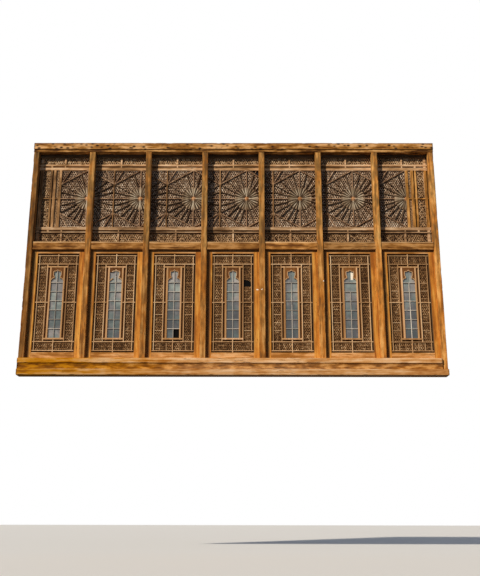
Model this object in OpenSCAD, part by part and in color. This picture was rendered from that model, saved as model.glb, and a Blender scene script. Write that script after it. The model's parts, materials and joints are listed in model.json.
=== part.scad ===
// Timber lattice screen: seven bays between square posts, with a glazed lattice sash
// in each lower bay and one long panel of sunburst lattice across the upper bays.
// Millimetres. X runs along the wall, Y into the building and Z up.
// The origin is the middle of the sill's underside.

/* [Bays] */
// Number of bays between the jambs
bay_count = 7; // [3:1:8]
// Distance between the centres of two posts
bay_pitch = 983; // [940:1:1100]
// Width of a post
post_w = 100; // [80:1:130]
// Depth of a post, front to back
post_d = 115; // [105:1:150]
// Radius of the worn front edges of posts, transoms and head
edge_r = 13; // [6:1:20]
// Width of a jamb
jamb_w = 95; // [80:1:130]

/* [Sill] */
// Height of the lowest sill timber
sill_lower_h = 100; // [70:1:140]
// Height of the middle sill timber
sill_middle_h = 95; // [70:1:140]
// Height of the top sill timber
sill_upper_h = 87; // [60:1:120]
// How far the lowest timber stands in front of the posts
sill_lower_front = 50; // [35:1:80]
// How far the middle timber stands in front of the posts
sill_middle_front = 28; // [10:1:34]
// How far the top timber stands in front of the posts
sill_upper_front = 40; // [14:1:60]
// Depth of the hollow worked along the middle timber
sill_hollow = 9; // [3:1:14]
// How far the sill runs on past the jambs
sill_overrun = 0; // [0:1:90]
// How far sill and head run on behind the posts
back_d = 45; // [42:1:90]

/* [Head] */
// Height of the lower head timber
head_lower_h = 50; // [40:1:80]
// Height of the upper head timber
head_upper_h = 120; // [90:1:150]
// How far the upper head timber stands in front of the posts
head_upper_front = 16; // [0:1:40]

/* [Transoms] */
// Clear height of the lower openings
lower_opening_h = 1866; // [1700:1:2100]
// Height of a transom
transom_h = 138; // [100:1:170]
// How far a transom's face lies behind the post faces
transom_setback = 15; // [13:1:30]
// Clear height of the upper openings
upper_opening_h = 1649; // [1600:1:1800]

/* [Sashes] */
// How far a sash's face lies behind the post faces
sash_setback = 60; // [45:1:65]
// How far the beads lie behind the face of the sash
bead_setback = 6; // [3:1:8]
// Thickness of the sash frame
sash_d = 42; // [30:1:45]
// Width of the sash stiles
stile_w = 99; // [70:1:110]
// Height of the bottom rail
bottom_rail_h = 107; // [70:1:130]
// Height of the top rail
top_rail_h = 70; // [50:1:100]
// Fitting gap round a sash
sash_gap = 0.3; // [0.2:0.1:1]
// Open gap between the sash frame and the outer bead
outer_gap = 20; // [12:1:28]
// Width of the outer bead
outer_bead_w = 16; // [12:1:22]
// Height of the lattice strips above and below the window
strip_h = 132; // [100:1:150]
// Width of the inner bead
inner_bead_w = 18; // [12:1:22]
// Open gap between the inner bead and the window frame at its sides
inner_gap_x = 34; // [20:1:40]
// Open gap between the inner bead and the window frame at top and bottom
inner_gap_z = 27; // [20:1:36]
// Width of the window frame members
window_frame_w = 27; // [20:1:32]
// Width of the glazed opening
glass_w = 204; // [170:1:240]
// Width of the glazing bars
glazing_bar_w = 10; // [8:1:14]
// Number of full rows of panes below the arch
pane_rows = 6; // [4:1:8]
// Distance from the springing of the arch down to the top glazing bar
top_bar_drop = 47; // [30:1:70]
// Width of the ties that cross the gaps and strips
tie_w = 18; // [12:1:24]
// How far beads and window frame stand in front of the fine lattice
bead_proud = 12; // [6:1:16]
// Thickness of the beads
bead_d = 30; // [24:1:36]

/* [Cusped arch] */
// Height from the springing to the tip of the opening
arch_rise = 172; // [160:1:200]
// Half width of the opening between its cusps
arch_neck = 37; // [30:1:44]
// Half width of the head of the arch
arch_head = 61; // [52:1:68]
// Height of the middle of the round head above the springing
arch_head_z = 98; // [90:1:104]
// Height of the shoulders above the springing
arch_shoulder_z = 148; // [140:1:154]
// Corner radius of the shoulders
arch_shoulder_r = 12; // [6:1:20]
// Radius of the two lobes at the springing
arch_lobe_r = 30; // [24:1:34]
// Half width of the drawn-out tip where it leaves the shoulders
arch_tip_w = 40; // [30:1:46]
// Width of the bead round the opening
arch_bead_w = 12; // [6:1:14]
// How far the bead lies behind the face of the window frame
arch_bead_setback = 2; // [0:1:4]
// Distance from the top of the window opening to the tip of the arch
arch_top_gap = 41; // [25:1:60]

/* [Lattice] */
// Width of the lattice bars
bar_w = 8; // [6:1:12]
// Thickness of the lattice bars
bar_d = 12; // [8:1:16]
// Length of one module beside the window, from cross bar to cross bar
sash_module = 135; // [100:1:160]
// Length of one module above and below the window
rail_module = 105; // [90:1:140]
// Length of one module of the strips round the sunbursts
upper_module = 190; // [140:1:260]
// Number of main lattice bars to one star, in each of three directions
star_divisions = 4; // [2:2:6]
// Width of the thin rim round each piece of the upper lattice
rim_w = 5; // [4:1:8]

/* [Upper panel] */
// How far the panel's frame laps behind the timbers round it
panel_lap = 36; // [20:1:40]
// Thickness of the panel's frame
panel_d = 40; // [34:1:41]
// Height of the panel's bottom rail
panel_bottom_rail_h = 50; // [45:1:70]
// Height of the panel's top rail
panel_top_rail_h = 88; // [60:1:100]
// Height of the bottom lattice strip
bottom_strip_h = 175; // [140:1:200]
// Height of the top lattice strip
top_strip_h = 133; // [110:1:160]
// Height of the thin rail above the bottom strip
thin_rail_h = 27; // [20:1:34]
// Open gap between the thin and wide rails
rail_gap = 29; // [16:1:36]
// Height of the wide rails next to the sunbursts
wide_rail_h = 51; // [40:1:60]
// Width of the mullions in the top and bottom strips
mullion_w = 28; // [20:1:34]
// Open gap between a jamb and the rail beside it
side_gap = 18; // [12:1:30]
// Width of the upright rail outside the side lattice
side_rail_w = 44; // [30:1:54]
// Width of the side lattice
side_lattice_w = 136; // [110:1:160]
// Width of the bead inside the side lattice
side_bead_w = 30; // [18:1:36]
// Open gap inside the side lattice
side_inner_gap = 22; // [16:1:34]
// Width of the outer side strip
side_strip_w = 45; // [35:1:70]
// Width of the narrow lattice between the side strips
narrow_lattice_w = 52; // [40:1:60]
// Width of the side strip next to the sunbursts
field_strip_w = 45; // [35:1:65]
// How far the panel's beads and rays lie behind the face of its frame
panel_bead_setback = 5; // [3:1:10]
// How far the rays stand in front of the fine lattice
ray_proud = 20; // [8:1:22]

/* [Sunbursts] */
// Number of rays in a full star
ray_count = 24; // [12:12:24]
// Width of a ray
ray_w = 11; // [9:1:15]
// Thickness of the rays
ray_d = 30; // [20:1:30]
// Width of the full-height and sloping bars
star_bar_w = 15; // [11:1:20]
// Radius of the turned boss at the middle of a star
boss_r = 44; // [34:1:52]
// Height of the boss's dome above its bead
boss_dome_h = 17; // [10:1:24]
// Radius of the bead turned round the dome
boss_bead_r = 4; // [2:0.5:5]
// Clearance between a boss and the post in front of it
boss_gap = 1; // [0.3:0.1:3]
// Inner radius of the slats between the rays
petal_in_r = 70; // [58:1:80]
// Outer radius of the slats
petal_out_r = 205; // [150:1:225]
// Width of a slat at its inner end
petal_in_w = 5; // [4:1:8]
// Width of a slat at its outer end
petal_w = 22; // [14:1:26]
// How far the slats lie behind the front of the rays
petal_setback = 5; // [2:1:8]
// Thickness of the slats
petal_d = 22; // [12:1:24]

/* [Glass] */
// Thickness of the glass
glass_d = 4; // [3:0.5:5]
// Fitting gap round a sheet of glass
glass_gap = 0.3; // [0.2:0.1:1]
// Overlap of the glass on the wood round it
glass_lap = 8; // [4:1:12]

/* [Losses] */
// Bay with a hole torn in the lattice right of its window
torn_bay = 4; // [1:1:8]
// Radius of the torn hole
torn_r = 50; // [30:1:56]
// Distance from the springing of the arch down to the middle of the torn hole
torn_drop = 44; // [20:1:80]
// First bay whose upright glazing bar has lost its top
short_bar_bay = 5; // [1:1:9]

/* [Hidden] */
$fn = 48;
// How far a bar runs into the wood that holds it
seat = 1;
half_w = bay_count * bay_pitch / 2;
outer_half_w = half_w + jamb_w / 2;
inner_half_w = half_w - jamb_w / 2;
back_y = (sill_lower_front + post_d + back_d) / 2;
front_y = -back_y;
post_y = front_y + sill_lower_front;
post_back_y = post_y + post_d;
sash_y = post_y + sash_setback;
transom_y = post_y + transom_setback;

sill_top_z = sill_lower_h + sill_middle_h + sill_upper_h;
transom_z = sill_top_z + lower_opening_h;
transom_top_z = transom_z + transom_h;
head_z = transom_top_z + upper_opening_h;
head_upper_z = head_z + head_lower_h;

// Sash, measured from the middle of its bay, with the same opening in every bay
opening_half_w = (bay_pitch - max(post_w, jamb_w)) / 2 - sash_gap - stile_w;
bead_half_w = opening_half_w - outer_gap;
sash_lo_z = sill_top_z + sash_gap;
sash_hi_z = transom_z - sash_gap;
opening_lo_z = sash_lo_z + bottom_rail_h;
opening_hi_z = sash_hi_z - top_rail_h;
window_half_w = glass_w / 2 + window_frame_w;
inner_bead_half_w = window_half_w + inner_gap_x + inner_bead_w;
bead_step_z = outer_gap + outer_bead_w + strip_h;
inner_lo_z = opening_lo_z + bead_step_z;
inner_hi_z = opening_hi_z - bead_step_z;
window_lo_z = inner_lo_z + inner_bead_w + inner_gap_z;
window_hi_z = inner_hi_z - inner_bead_w - inner_gap_z;
pane_lo_z = window_lo_z + window_frame_w;
pane_hi_z = window_hi_z - window_frame_w;
arch_tip_z = pane_hi_z - arch_top_gap;
springing_z = arch_tip_z - arch_rise;
tie_z = (opening_lo_z + opening_hi_z) / 2;
top_bar_z = springing_z - top_bar_drop;
pane_h = (top_bar_z - pane_lo_z) / pane_rows;
bead_y = sash_y + bead_setback;
glazing_y = bead_y + bead_proud / 2;
lattice_y = bead_y + bead_proud;
sash_glass_y = bead_y + bead_d + glass_gap;

// Upper panel
panel_y = post_back_y;
panel_half_w = inner_half_w + panel_lap;
panel_lo_z = transom_top_z - panel_lap;
panel_hi_z = head_z + panel_lap;
strip_lo_z = panel_lo_z + panel_bottom_rail_h;
strip_lo_top_z = strip_lo_z + bottom_strip_h;
field_lo_z = strip_lo_top_z + thin_rail_h + rail_gap + wide_rail_h;
strip_hi_top_z = panel_hi_z - panel_top_rail_h;
strip_hi_z = strip_hi_top_z - top_strip_h;
field_hi_z = strip_hi_z - thin_rail_h - rail_gap - wide_rail_h;
star_z = (field_lo_z + field_hi_z) / 2;
side_border_w = side_gap + side_rail_w + side_lattice_w + side_bead_w + side_inner_gap
              + side_strip_w + narrow_lattice_w + field_strip_w;
field_half_w = inner_half_w - side_border_w;
star_pitch = 2 * field_half_w / (bay_count - 0.5);
hexagon_r = star_pitch / sqrt(3);
panel_bead_y = panel_y + panel_bead_setback;
panel_bead_d = panel_d - panel_bead_setback;
star_lattice_y = panel_bead_y + ray_proud;
panel_bead_back_y = panel_bead_y + panel_bead_d;
boss_d = panel_bead_back_y - post_back_y - boss_gap;
panel_glass_y = panel_y + panel_d + glass_gap;

bays = [1:bay_count];
inner_posts = [1:bay_count - 1];

post_colour = "#A9762F";
sill_colour = "#C98F48";
sash_colour = "#C8802F";
lattice_colour = "#A98558";
ray_colour = "#7E5A33";
glass_colour = "#8C98A3";

function bay_x(i) = (i - (bay_count + 1) / 2) * bay_pitch;
function post_x(i) = (i - bay_count / 2) * bay_pitch;
function star_x(i) = -field_half_w + (i - 0.5) * star_pitch;

// The stretch of a line through o along d that lies inside a rectangle, as [start, end]
function reach(o, d, span) =
    abs(d) > 1e-6 ? [(span[0] - o) / d, (span[1] - o) / d]
    : o > span[0] && o < span[1] ? [-1e6, 1e6] : [1e6, 1e6];
function inside(o, d, span_x, span_z) =
    let (along_x = reach(o[0], d[0], span_x), along_z = reach(o[1], d[1], span_z))
    [max(min(along_x), min(along_z)), min(max(along_x), max(along_z))];

// Stands a flat drawing up in the wall, its face at y = front
module board(front, depth) {
    translate([0, front + depth, 0])
        rotate([90, 0, 0])
            linear_extrude(depth)
                children();
}

module rect(x0, x1, z0, z1) {
    translate([x0, z0])
        square([x1 - x0, z1 - z0]);
}

// A rectangular frame of members w wide
module frame(x0, x1, z0, z1, w) {
    difference() {
        rect(x0, x1, z0, z1);
        rect(x0 + w, x1 - w, z0 + w, z1 - w);
    }
}

// Only what lies inside a rectangle
module clipped(span_x, span_z) {
    intersection() {
        rect(span_x[0], span_x[1], span_z[0], span_z[1]);
        children();
    }
}

// The same stretch of bar on both sides of the middle line
module both_sides(x0, x1, z0, z1) {
    for (side = [0, 1])
        mirror([side, 0])
            rect(x0, x1, z0, z1);
}

module bar(o, angle, from, to, w) {
    translate(o)
        rotate(angle)
            translate([from, -w / 2])
                square([to - from, w]);
}

// Parallel bars at one angle that fill a rectangle, a pitch apart and counted from o
module bar_family(span_x, span_z, o, angle, pitch, w) {
    d = [cos(angle), sin(angle)];
    n = [-sin(angle), cos(angle)];
    size = norm([span_x[1] - span_x[0], span_z[1] - span_z[0]]);
    away = ceil((size + norm([o[0] - span_x[0], o[1] - span_z[0]])) / pitch);
    for (k = [-away:away]) {
        start = o + (k + 0.5) * pitch * n;
        cut = inside(start, d, span_x, span_z);
        if (cut[1] - cut[0] > w)
            bar(start, angle, cut[0], cut[1], w);
    }
}

// Three families of bars, half a step off centre, so that they leave six-pointed stars
module star_mesh(span_x, span_z, o, pitch, w) {
    for (angle = [0, 60, 120])
        bar_family(span_x, span_z, o, angle, pitch, w);
}

// A timber's section with its two front edges rounded, front at y = 0
module rounded_front(w, d, r) {
    translate([-w / 2, r])
        square([w, d - r]);
    translate([r - w / 2, 0])
        square([w - 2 * r, d]);
    for (side = [-1, 1])
        translate([side * (w / 2 - r), r])
            circle(r);
}

// A long timber along the wall from its section, drawn as [depth, height]
module along_wall(x0, x1) {
    translate([x0, 0, 0])
        rotate([90, 0, 90])
            linear_extrude(x1 - x0)
                children();
}

// A section whose front edges are rounded, as [depth, height] from the front
module rounded_beam(d, h, r) {
    translate([r, 0])
        square([d - r, h]);
    translate([0, r])
        square([d, h - 2 * r]);
    for (z = [r, h - r])
        translate([r, z])
            circle(r);
}

module sill_lower() {
    color(sill_colour)
        along_wall(-outer_half_w - sill_overrun, outer_half_w + sill_overrun)
            translate([front_y, 0])
                rounded_beam(back_y - front_y, sill_lower_h, edge_r);
}

// The two upper sill timbers end at the right jamb, which stands on the lowest one
module sill_middle() {
    hollow_r = (sill_middle_h * sill_middle_h / 4 + sill_hollow * sill_hollow) / (2 * sill_hollow);
    color(sill_colour)
        along_wall(-outer_half_w - sill_overrun, inner_half_w)
            translate([post_y - sill_middle_front, sill_lower_h])
                difference() {
                    square([back_y - post_y + sill_middle_front, sill_middle_h]);
                    translate([sill_hollow - hollow_r, sill_middle_h / 2])
                        circle(hollow_r, $fn = 240);
                }
}

module sill_upper() {
    color(sill_colour)
        along_wall(-outer_half_w - sill_overrun, inner_half_w)
            translate([post_y - sill_upper_front, sill_lower_h + sill_middle_h])
                rounded_beam(back_y - post_y + sill_upper_front, sill_upper_h, edge_r);
}

module head_lower() {
    color(post_colour)
        along_wall(-outer_half_w, outer_half_w)
            translate([post_y, head_z])
                rounded_beam(post_d, head_lower_h, edge_r);
}

module head_upper() {
    color(sill_colour)
        along_wall(-outer_half_w, outer_half_w)
            translate([post_y - head_upper_front, head_upper_z])
                rounded_beam(back_y - post_y + head_upper_front, head_upper_h, edge_r);
}

module upright(x, w, foot_z) {
    color(post_colour)
        translate([x, post_y, foot_z])
            linear_extrude(head_z - foot_z)
                rounded_front(w, post_d, edge_r);
}

module transom(i) {
    left_x = i == 1 ? -inner_half_w : post_x(i - 1) + post_w / 2;
    right_x = i == bay_count ? inner_half_w : post_x(i) - post_w / 2;
    color(post_colour)
        along_wall(left_x, right_x)
            translate([transom_y, transom_z])
                rounded_beam(post_d - transom_setback, transom_h, edge_r);
}

module sash(i) {
    left_w = i == 1 ? jamb_w : post_w;
    right_w = i == bay_count ? jamb_w : post_w;
    left_x = -bay_pitch / 2 + left_w / 2 + sash_gap;
    right_x = bay_pitch / 2 - right_w / 2 - sash_gap;
    color(sash_colour)
        translate([bay_x(i), 0, 0])
            board(sash_y, sash_d)
                difference() {
                    rect(left_x, right_x, sash_lo_z, sash_hi_z);
                    rect(-opening_half_w, opening_half_w, opening_lo_z, opening_hi_z);
                }
}

// The drawn-out tip: each side rises as the square of its way to the middle
function ogee(half_w, z0, z1) = [
    for (t = [-1:0.125:1]) [half_w * t, z0 + (z1 - z0) * (1 - abs(t)) * (1 - abs(t))]
];

// The arch over the glass, from its springing up and grown by a bead's width: two lobes,
// a neck between the cusps, a round head with square shoulders and a drawn-out tip
module arch_outline(grow) {
    shoulder_x = arch_head - arch_shoulder_r;
    lobe_x = glass_w / 2 - arch_bead_w - arch_lobe_r;
    clipped([-glass_w, glass_w], [-seat, 2 * arch_rise]) {
        for (side = [-1, 1]) {
            translate([side * lobe_x, 0])
                circle(arch_lobe_r + grow);
            translate([side * shoulder_x, arch_shoulder_z - arch_shoulder_r])
                circle(arch_shoulder_r + grow);
        }
        rect(-arch_neck - grow, arch_neck + grow, -seat, arch_head_z);
        translate([0, arch_head_z])
            circle(arch_head + grow);
        rect(-arch_head - grow, arch_head + grow, arch_head_z, arch_shoulder_z - arch_shoulder_r);
        rect(-shoulder_x, shoulder_x, arch_head_z, arch_shoulder_z + grow);
        polygon(ogee(arch_tip_w, arch_shoulder_z + grow, arch_rise + grow));
    }
}

module arch_bead() {
    translate([0, springing_z])
        clipped([-glass_w / 2 - seat, glass_w / 2 + seat], [0, 2 * arch_rise])
            difference() {
                arch_outline(arch_bead_w);
                arch_outline(0);
            }
}

module spandrel() {
    difference() {
        rect(-glass_w / 2 - seat, glass_w / 2 + seat, springing_z, pane_hi_z + seat);
        translate([0, springing_z])
            arch_outline(0);
    }
}

module sash_ties() {
    both_sides(window_half_w, opening_half_w, tie_z - tie_w / 2, tie_z + tie_w / 2);
    for (z = [opening_lo_z + outer_gap, inner_lo_z, inner_hi_z - outer_bead_w,
              opening_hi_z - outer_gap - outer_bead_w])
        both_sides(bead_half_w, opening_half_w, z, z + outer_bead_w);
    rect(-tie_w / 2, tie_w / 2, opening_lo_z, window_lo_z);
    rect(-tie_w / 2, tie_w / 2, window_hi_z, opening_hi_z);
}

module sash_beads() {
    frame(-bead_half_w, bead_half_w, opening_lo_z + outer_gap, opening_hi_z - outer_gap, outer_bead_w);
    both_sides(0, bead_half_w, inner_lo_z, inner_lo_z + inner_bead_w);
    both_sides(0, bead_half_w, inner_hi_z - inner_bead_w, inner_hi_z);
    both_sides(inner_bead_half_w - inner_bead_w, inner_bead_half_w, inner_lo_z, inner_hi_z);
    frame(-window_half_w, window_half_w, window_lo_z, window_hi_z, window_frame_w);
}

module glazing_bars(i) {
    upright_top_z = i < short_bar_bay ? arch_tip_z + seat : top_bar_z;
    rect(-glazing_bar_w / 2, glazing_bar_w / 2, pane_lo_z - seat, upright_top_z);
    for (row = [1:pane_rows])
        rect(-glass_w / 2 - seat, glass_w / 2 + seat,
            pane_lo_z + row * pane_h - glazing_bar_w / 2, pane_lo_z + row * pane_h + glazing_bar_w / 2);
}

// A strip of lattice as equal modules with crossed bars in each and a bar between each two
module lattice_strip(length, width, module_length, overrun) {
    count = round(length / module_length);
    step = length / count;
    slant = atan2(width, step);
    arm = norm([step, width]) / 2 + overrun;
    for (k = [0:count - 1], side = [-1, 1])
        bar([(k + 0.5) * step, width / 2], side * slant, -arm, arm, bar_w);
    if (count > 1)
        for (k = [1:count - 1])
            translate([k * step - bar_w / 2, 0])
                square([bar_w, width]);
}

// The lattice strips round the window, cut out where they are torn
module sash_strips(i) {
    bury = outer_bead_w / 2;
    strip_w = bead_half_w - inner_bead_half_w;
    difference() {
        for (side = [0, 1])
            mirror([side, 0]) {
                translate([bead_half_w - bury, inner_lo_z + bury])
                    rotate(90)
                        lattice_strip(inner_hi_z - inner_lo_z - 2 * bury, strip_w, sash_module, 0);
                for (z = [opening_lo_z + outer_gap + bury, inner_hi_z - bury])
                    translate([0, z])
                        lattice_strip(bead_half_w - bury, strip_h, rail_module, 0);
            }
        if (i == torn_bay)
            translate([(bead_half_w - outer_bead_w + inner_bead_half_w) / 2, springing_z - torn_drop])
                circle(torn_r);
    }
}

module sash_lattice(i) {
    color(lattice_colour)
        translate([bay_x(i), 0, 0]) {
            board(bead_y, bead_d) {
                sash_beads();
                sash_ties();
            }
            board(bead_y + arch_bead_setback, bar_d)
                arch_bead();
            board(glazing_y, bead_d - bead_proud)
                glazing_bars(i);
            board(glazing_y, bar_d)
                spandrel();
            board(lattice_y, bar_d)
                sash_strips(i);
        }
}

module upper_frame() {
    rail_x = inner_half_w - side_gap - side_rail_w;
    bead_x = rail_x - side_lattice_w - side_bead_w;
    narrow_x = field_half_w + field_strip_w;
    color(sash_colour) {
        board(panel_y, panel_d)
            difference() {
                rect(-panel_half_w, panel_half_w, panel_lo_z, panel_hi_z);
                rect(-inner_half_w, inner_half_w, strip_lo_z, strip_hi_top_z);
            }
        board(panel_bead_y, panel_bead_d) {
            reach_x = inner_half_w + seat;
            for (z = [strip_lo_top_z, strip_hi_z - thin_rail_h])
                rect(-reach_x, reach_x, z, z + thin_rail_h);
            for (z = [field_lo_z - wide_rail_h, field_hi_z])
                rect(-reach_x, reach_x, z, z + wide_rail_h);
            for (i = bays) {
                x = bay_x(i);
                rect(x - mullion_w / 2, x + mullion_w / 2, strip_lo_z - seat, strip_lo_top_z + seat);
                rect(x - mullion_w / 2, x + mullion_w / 2, strip_hi_z - seat, strip_hi_top_z + seat);
                rect(x - tie_w / 2, x + tie_w / 2, strip_lo_top_z, field_lo_z);
                rect(x - tie_w / 2, x + tie_w / 2, field_hi_z, strip_hi_z);
            }
            both_sides(rail_x, rail_x + side_rail_w, strip_lo_z - seat, strip_hi_top_z + seat);
            both_sides(bead_x, bead_x + side_bead_w, strip_lo_top_z, strip_hi_z);
            both_sides(narrow_x + narrow_lattice_w, narrow_x + narrow_lattice_w + side_strip_w,
                field_lo_z - seat, field_hi_z + seat);
            both_sides(field_half_w, narrow_x, field_lo_z - seat, field_hi_z + seat);
            both_sides(field_half_w, reach_x, star_z - tie_w / 2, star_z + tie_w / 2);
            for (i = [1:bay_count - 1]) {
                x = star_x(i) + star_pitch / 2;
                rect(x - star_bar_w / 2, x + star_bar_w / 2, field_lo_z - seat, field_hi_z + seat);
            }
        }
    }
}

// Lattice in a thin rim that fills one opening of the upper panel, its modules as long for
// their width as those of the bottom strip
module strip_panel(x0, x1, z0, z1) {
    long = z1 - z0 > x1 - x0;
    width = long ? x1 - x0 : z1 - z0;
    frame(x0, x1, z0, z1, rim_w);
    clipped([x0, x1], [z0, z1])
        translate([long ? x1 : x0, z0])
            rotate(long ? 90 : 0)
                lattice_strip(long ? z1 - z0 : x1 - x0, width, width * upper_module / bottom_strip_h, bar_w);
}

module upper_strips() {
    inner_x = inner_half_w - side_gap - side_rail_w;
    narrow_x = field_half_w + field_strip_w;
    color(lattice_colour)
        board(star_lattice_y, bar_d) {
            for (i = [0:bay_count]) {
                x0 = i == 0 ? -inner_x : bay_x(i) + mullion_w / 2;
                x1 = i == bay_count ? inner_x : bay_x(i + 1) - mullion_w / 2;
                strip_panel(x0, x1, strip_lo_z, strip_lo_top_z);
                strip_panel(x0, x1, strip_hi_z, strip_hi_top_z);
            }
            for (side = [0, 1], span = [[field_lo_z, star_z - tie_w / 2], [star_z + tie_w / 2, field_hi_z]])
                mirror([side, 0]) {
                    strip_panel(inner_x - side_lattice_w, inner_x, span[0], span[1]);
                    strip_panel(narrow_x, narrow_x + narrow_lattice_w, span[0], span[1]);
                }
        }
}

// One star's bars: rays from the boss to the hexagon round it, the hexagon's sloping sides
// carried on from the next stars' rays, and sloping bars that fill the corners
module star_bars(span_x, span_z) {
    for (k = [0:ray_count - 1]) {
        angle = k * 360 / ray_count;
        sector = abs((angle + 30) % 60 - 30);
        end = hexagon_r * cos(30) / cos(sector);
        cut = inside([0, star_z], [cos(angle), sin(angle)], span_x, span_z);
        if (cut[1] > boss_r)
            bar([0, star_z], angle, boss_r - seat, min(end, cut[1]), ray_w);
    }
    rect(span_x[0], span_x[1], star_z - star_bar_w / 2, star_z + star_bar_w / 2);
    rect(-star_bar_w / 2, star_bar_w / 2, span_z[0], span_z[1]);
    for (side = [-1, 1], up = [-1, 1]) {
        corner = [side * star_pitch / 2, star_z + up * hexagon_r / 2];
        cut = inside(corner, [-side * cos(30), up * sin(30)], span_x, span_z);
        bar(corner, side > 0 ? 180 - up * 30 : up * 30, cut[0], cut[1], star_bar_w);
        steep = inside(corner, [-side * cos(60), up * sin(60)], span_x, span_z);
        bar(corner, side > 0 ? up * 120 : up * 60, max(0, steep[0]), steep[1], ray_w);
    }
}

// Short slats that fill the spaces between the rays near the boss
module petals() {
    for (k = [0:ray_count - 1])
        translate([0, star_z])
            rotate((k + 0.5) * 360 / ray_count)
                polygon([[petal_in_r, -petal_in_w / 2], [petal_in_r, petal_in_w / 2],
                    [petal_out_r, petal_w / 2], [petal_out_r, -petal_w / 2]]);
}

// A turned boss's half section: a flange, a bead and a low dome, back at zero
module boss_section() {
    flange_d = boss_d - boss_dome_h;
    dome_w = boss_r - 2 * boss_bead_r;
    dome_r = (dome_w * dome_w + boss_dome_h * boss_dome_h) / (2 * boss_dome_h);
    square([boss_r, flange_d]);
    translate([boss_r - boss_bead_r, flange_d])
        circle(boss_bead_r);
    intersection() {
        square([dome_w, boss_d]);
        translate([0, boss_d - dome_r])
            circle(dome_r);
    }
}

// A star in its field; the last one is cut off at its middle
module sunburst(i) {
    last = i == bay_count;
    span_x = [i == 1 ? -star_pitch / 2 : (star_bar_w - star_pitch) / 2,
              last ? 0 : (star_pitch - star_bar_w) / 2];
    span_z = [field_lo_z, field_hi_z];
    color(ray_colour)
        translate([star_x(i), 0, 0]) {
            board(panel_bead_y, ray_d)
                clipped(span_x, span_z)
                    star_bars(span_x, span_z);
            board(panel_bead_y + petal_setback, petal_d)
                clipped(span_x, span_z)
                    petals();
            board(star_lattice_y, bar_d) {
                frame(span_x[0], span_x[1], span_z[0], span_z[1], rim_w);
                clipped(span_x, span_z)
                    star_mesh(span_x, span_z, [0, star_z], star_pitch / star_divisions, bar_w);
            }
            intersection() {
                translate([0, panel_bead_back_y, star_z])
                    rotate([90, 0, 0])
                        rotate_extrude()
                            boss_section();
                board(post_back_y, panel_d)
                    rect(span_x[0], span_x[1], span_z[0], span_z[1]);
            }
        }
}

module sash_glass() {
    glass_half_w = opening_half_w - glass_gap;
    color(glass_colour)
        for (i = bays)
            translate([bay_x(i), 0, 0])
                board(sash_glass_y, glass_d)
                    rect(-glass_half_w, glass_half_w, opening_lo_z + glass_gap, opening_hi_z - glass_gap);
}

module upper_glass() {
    edge_x = inner_half_w + glass_lap;
    color(glass_colour)
        board(panel_glass_y, glass_d)
            rect(-edge_x, edge_x, strip_lo_z - glass_lap, strip_hi_top_z + glass_lap);
}

sill_lower();
sill_middle();
sill_upper();
head_lower();
head_upper();
upright(-half_w, jamb_w, sill_top_z);  // left_jamb
upright(half_w, jamb_w, sill_lower_h);  // right_jamb
for (i = inner_posts) upright(post_x(i), post_w, sill_top_z);
for (i = bays) transom(i);
for (i = bays) sash(i);
for (i = bays) sash_lattice(i);
upper_frame();
upper_strips();
for (i = bays) sunburst(i);
sash_glass();
upper_glass();
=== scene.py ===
# %% [markdown]
# A timber lattice screen of seven bays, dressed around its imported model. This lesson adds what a
# carpenter, the sun and a century of dust have done to it: hewn posts, fine lattice, old window
# panes, and a finish for every kind of wood.

# %% Load the model
import json
import math

import bpy
import numpy as np
from mathutils import Matrix, Vector


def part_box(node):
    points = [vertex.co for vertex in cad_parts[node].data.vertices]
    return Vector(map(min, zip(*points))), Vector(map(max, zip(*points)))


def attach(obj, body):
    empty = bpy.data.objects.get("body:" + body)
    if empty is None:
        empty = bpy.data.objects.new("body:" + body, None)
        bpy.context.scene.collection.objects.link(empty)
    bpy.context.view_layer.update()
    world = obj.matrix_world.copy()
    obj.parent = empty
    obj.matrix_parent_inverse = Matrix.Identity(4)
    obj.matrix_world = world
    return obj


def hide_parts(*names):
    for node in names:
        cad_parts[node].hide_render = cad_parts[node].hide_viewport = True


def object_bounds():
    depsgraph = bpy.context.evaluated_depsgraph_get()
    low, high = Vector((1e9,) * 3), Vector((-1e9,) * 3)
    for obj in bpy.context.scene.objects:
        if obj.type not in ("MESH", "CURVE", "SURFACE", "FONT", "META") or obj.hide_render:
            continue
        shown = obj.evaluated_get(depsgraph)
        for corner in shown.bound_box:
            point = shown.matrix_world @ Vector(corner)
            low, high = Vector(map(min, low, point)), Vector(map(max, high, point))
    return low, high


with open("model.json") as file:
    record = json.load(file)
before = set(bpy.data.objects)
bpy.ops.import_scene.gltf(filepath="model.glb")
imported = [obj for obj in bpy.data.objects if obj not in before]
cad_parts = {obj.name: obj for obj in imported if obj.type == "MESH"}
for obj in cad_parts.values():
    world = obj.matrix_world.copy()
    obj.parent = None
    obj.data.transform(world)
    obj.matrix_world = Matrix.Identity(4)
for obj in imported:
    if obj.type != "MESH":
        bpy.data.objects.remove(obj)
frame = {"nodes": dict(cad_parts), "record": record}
cad_lo, cad_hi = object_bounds()
nodes = frame["nodes"]
print("parts:", len(nodes), "size in metres:", [round(v, 3) for v in cad_hi - cad_lo])

# %% [markdown]
# The photograph was taken from below and a little right of the middle, so the posts lean
# together towards the top. A camera low down, tilted up and without any shift gives the same
# lean. Its place and lens come from a fit to the edges of the posts, rails and sill.

# %% Camera
IMAGE_W = 480
FOCAL_PX = 794.2
SENSOR_MM = 36.0
CAMERA_PLACE = Vector((0.156, -12.758, -2.152))
PITCH, ROLL, YAW = (math.radians(a) for a in (15.892, 0.100, -0.163))

ahead = Vector((math.sin(YAW) * math.cos(PITCH), math.cos(YAW) * math.cos(PITCH), math.sin(PITCH)))
level = Vector((math.cos(YAW), -math.sin(YAW), 0.0))
upward = level.cross(ahead)
side = math.cos(ROLL) * level + math.sin(ROLL) * upward
top = math.cos(ROLL) * upward - math.sin(ROLL) * level

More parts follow.
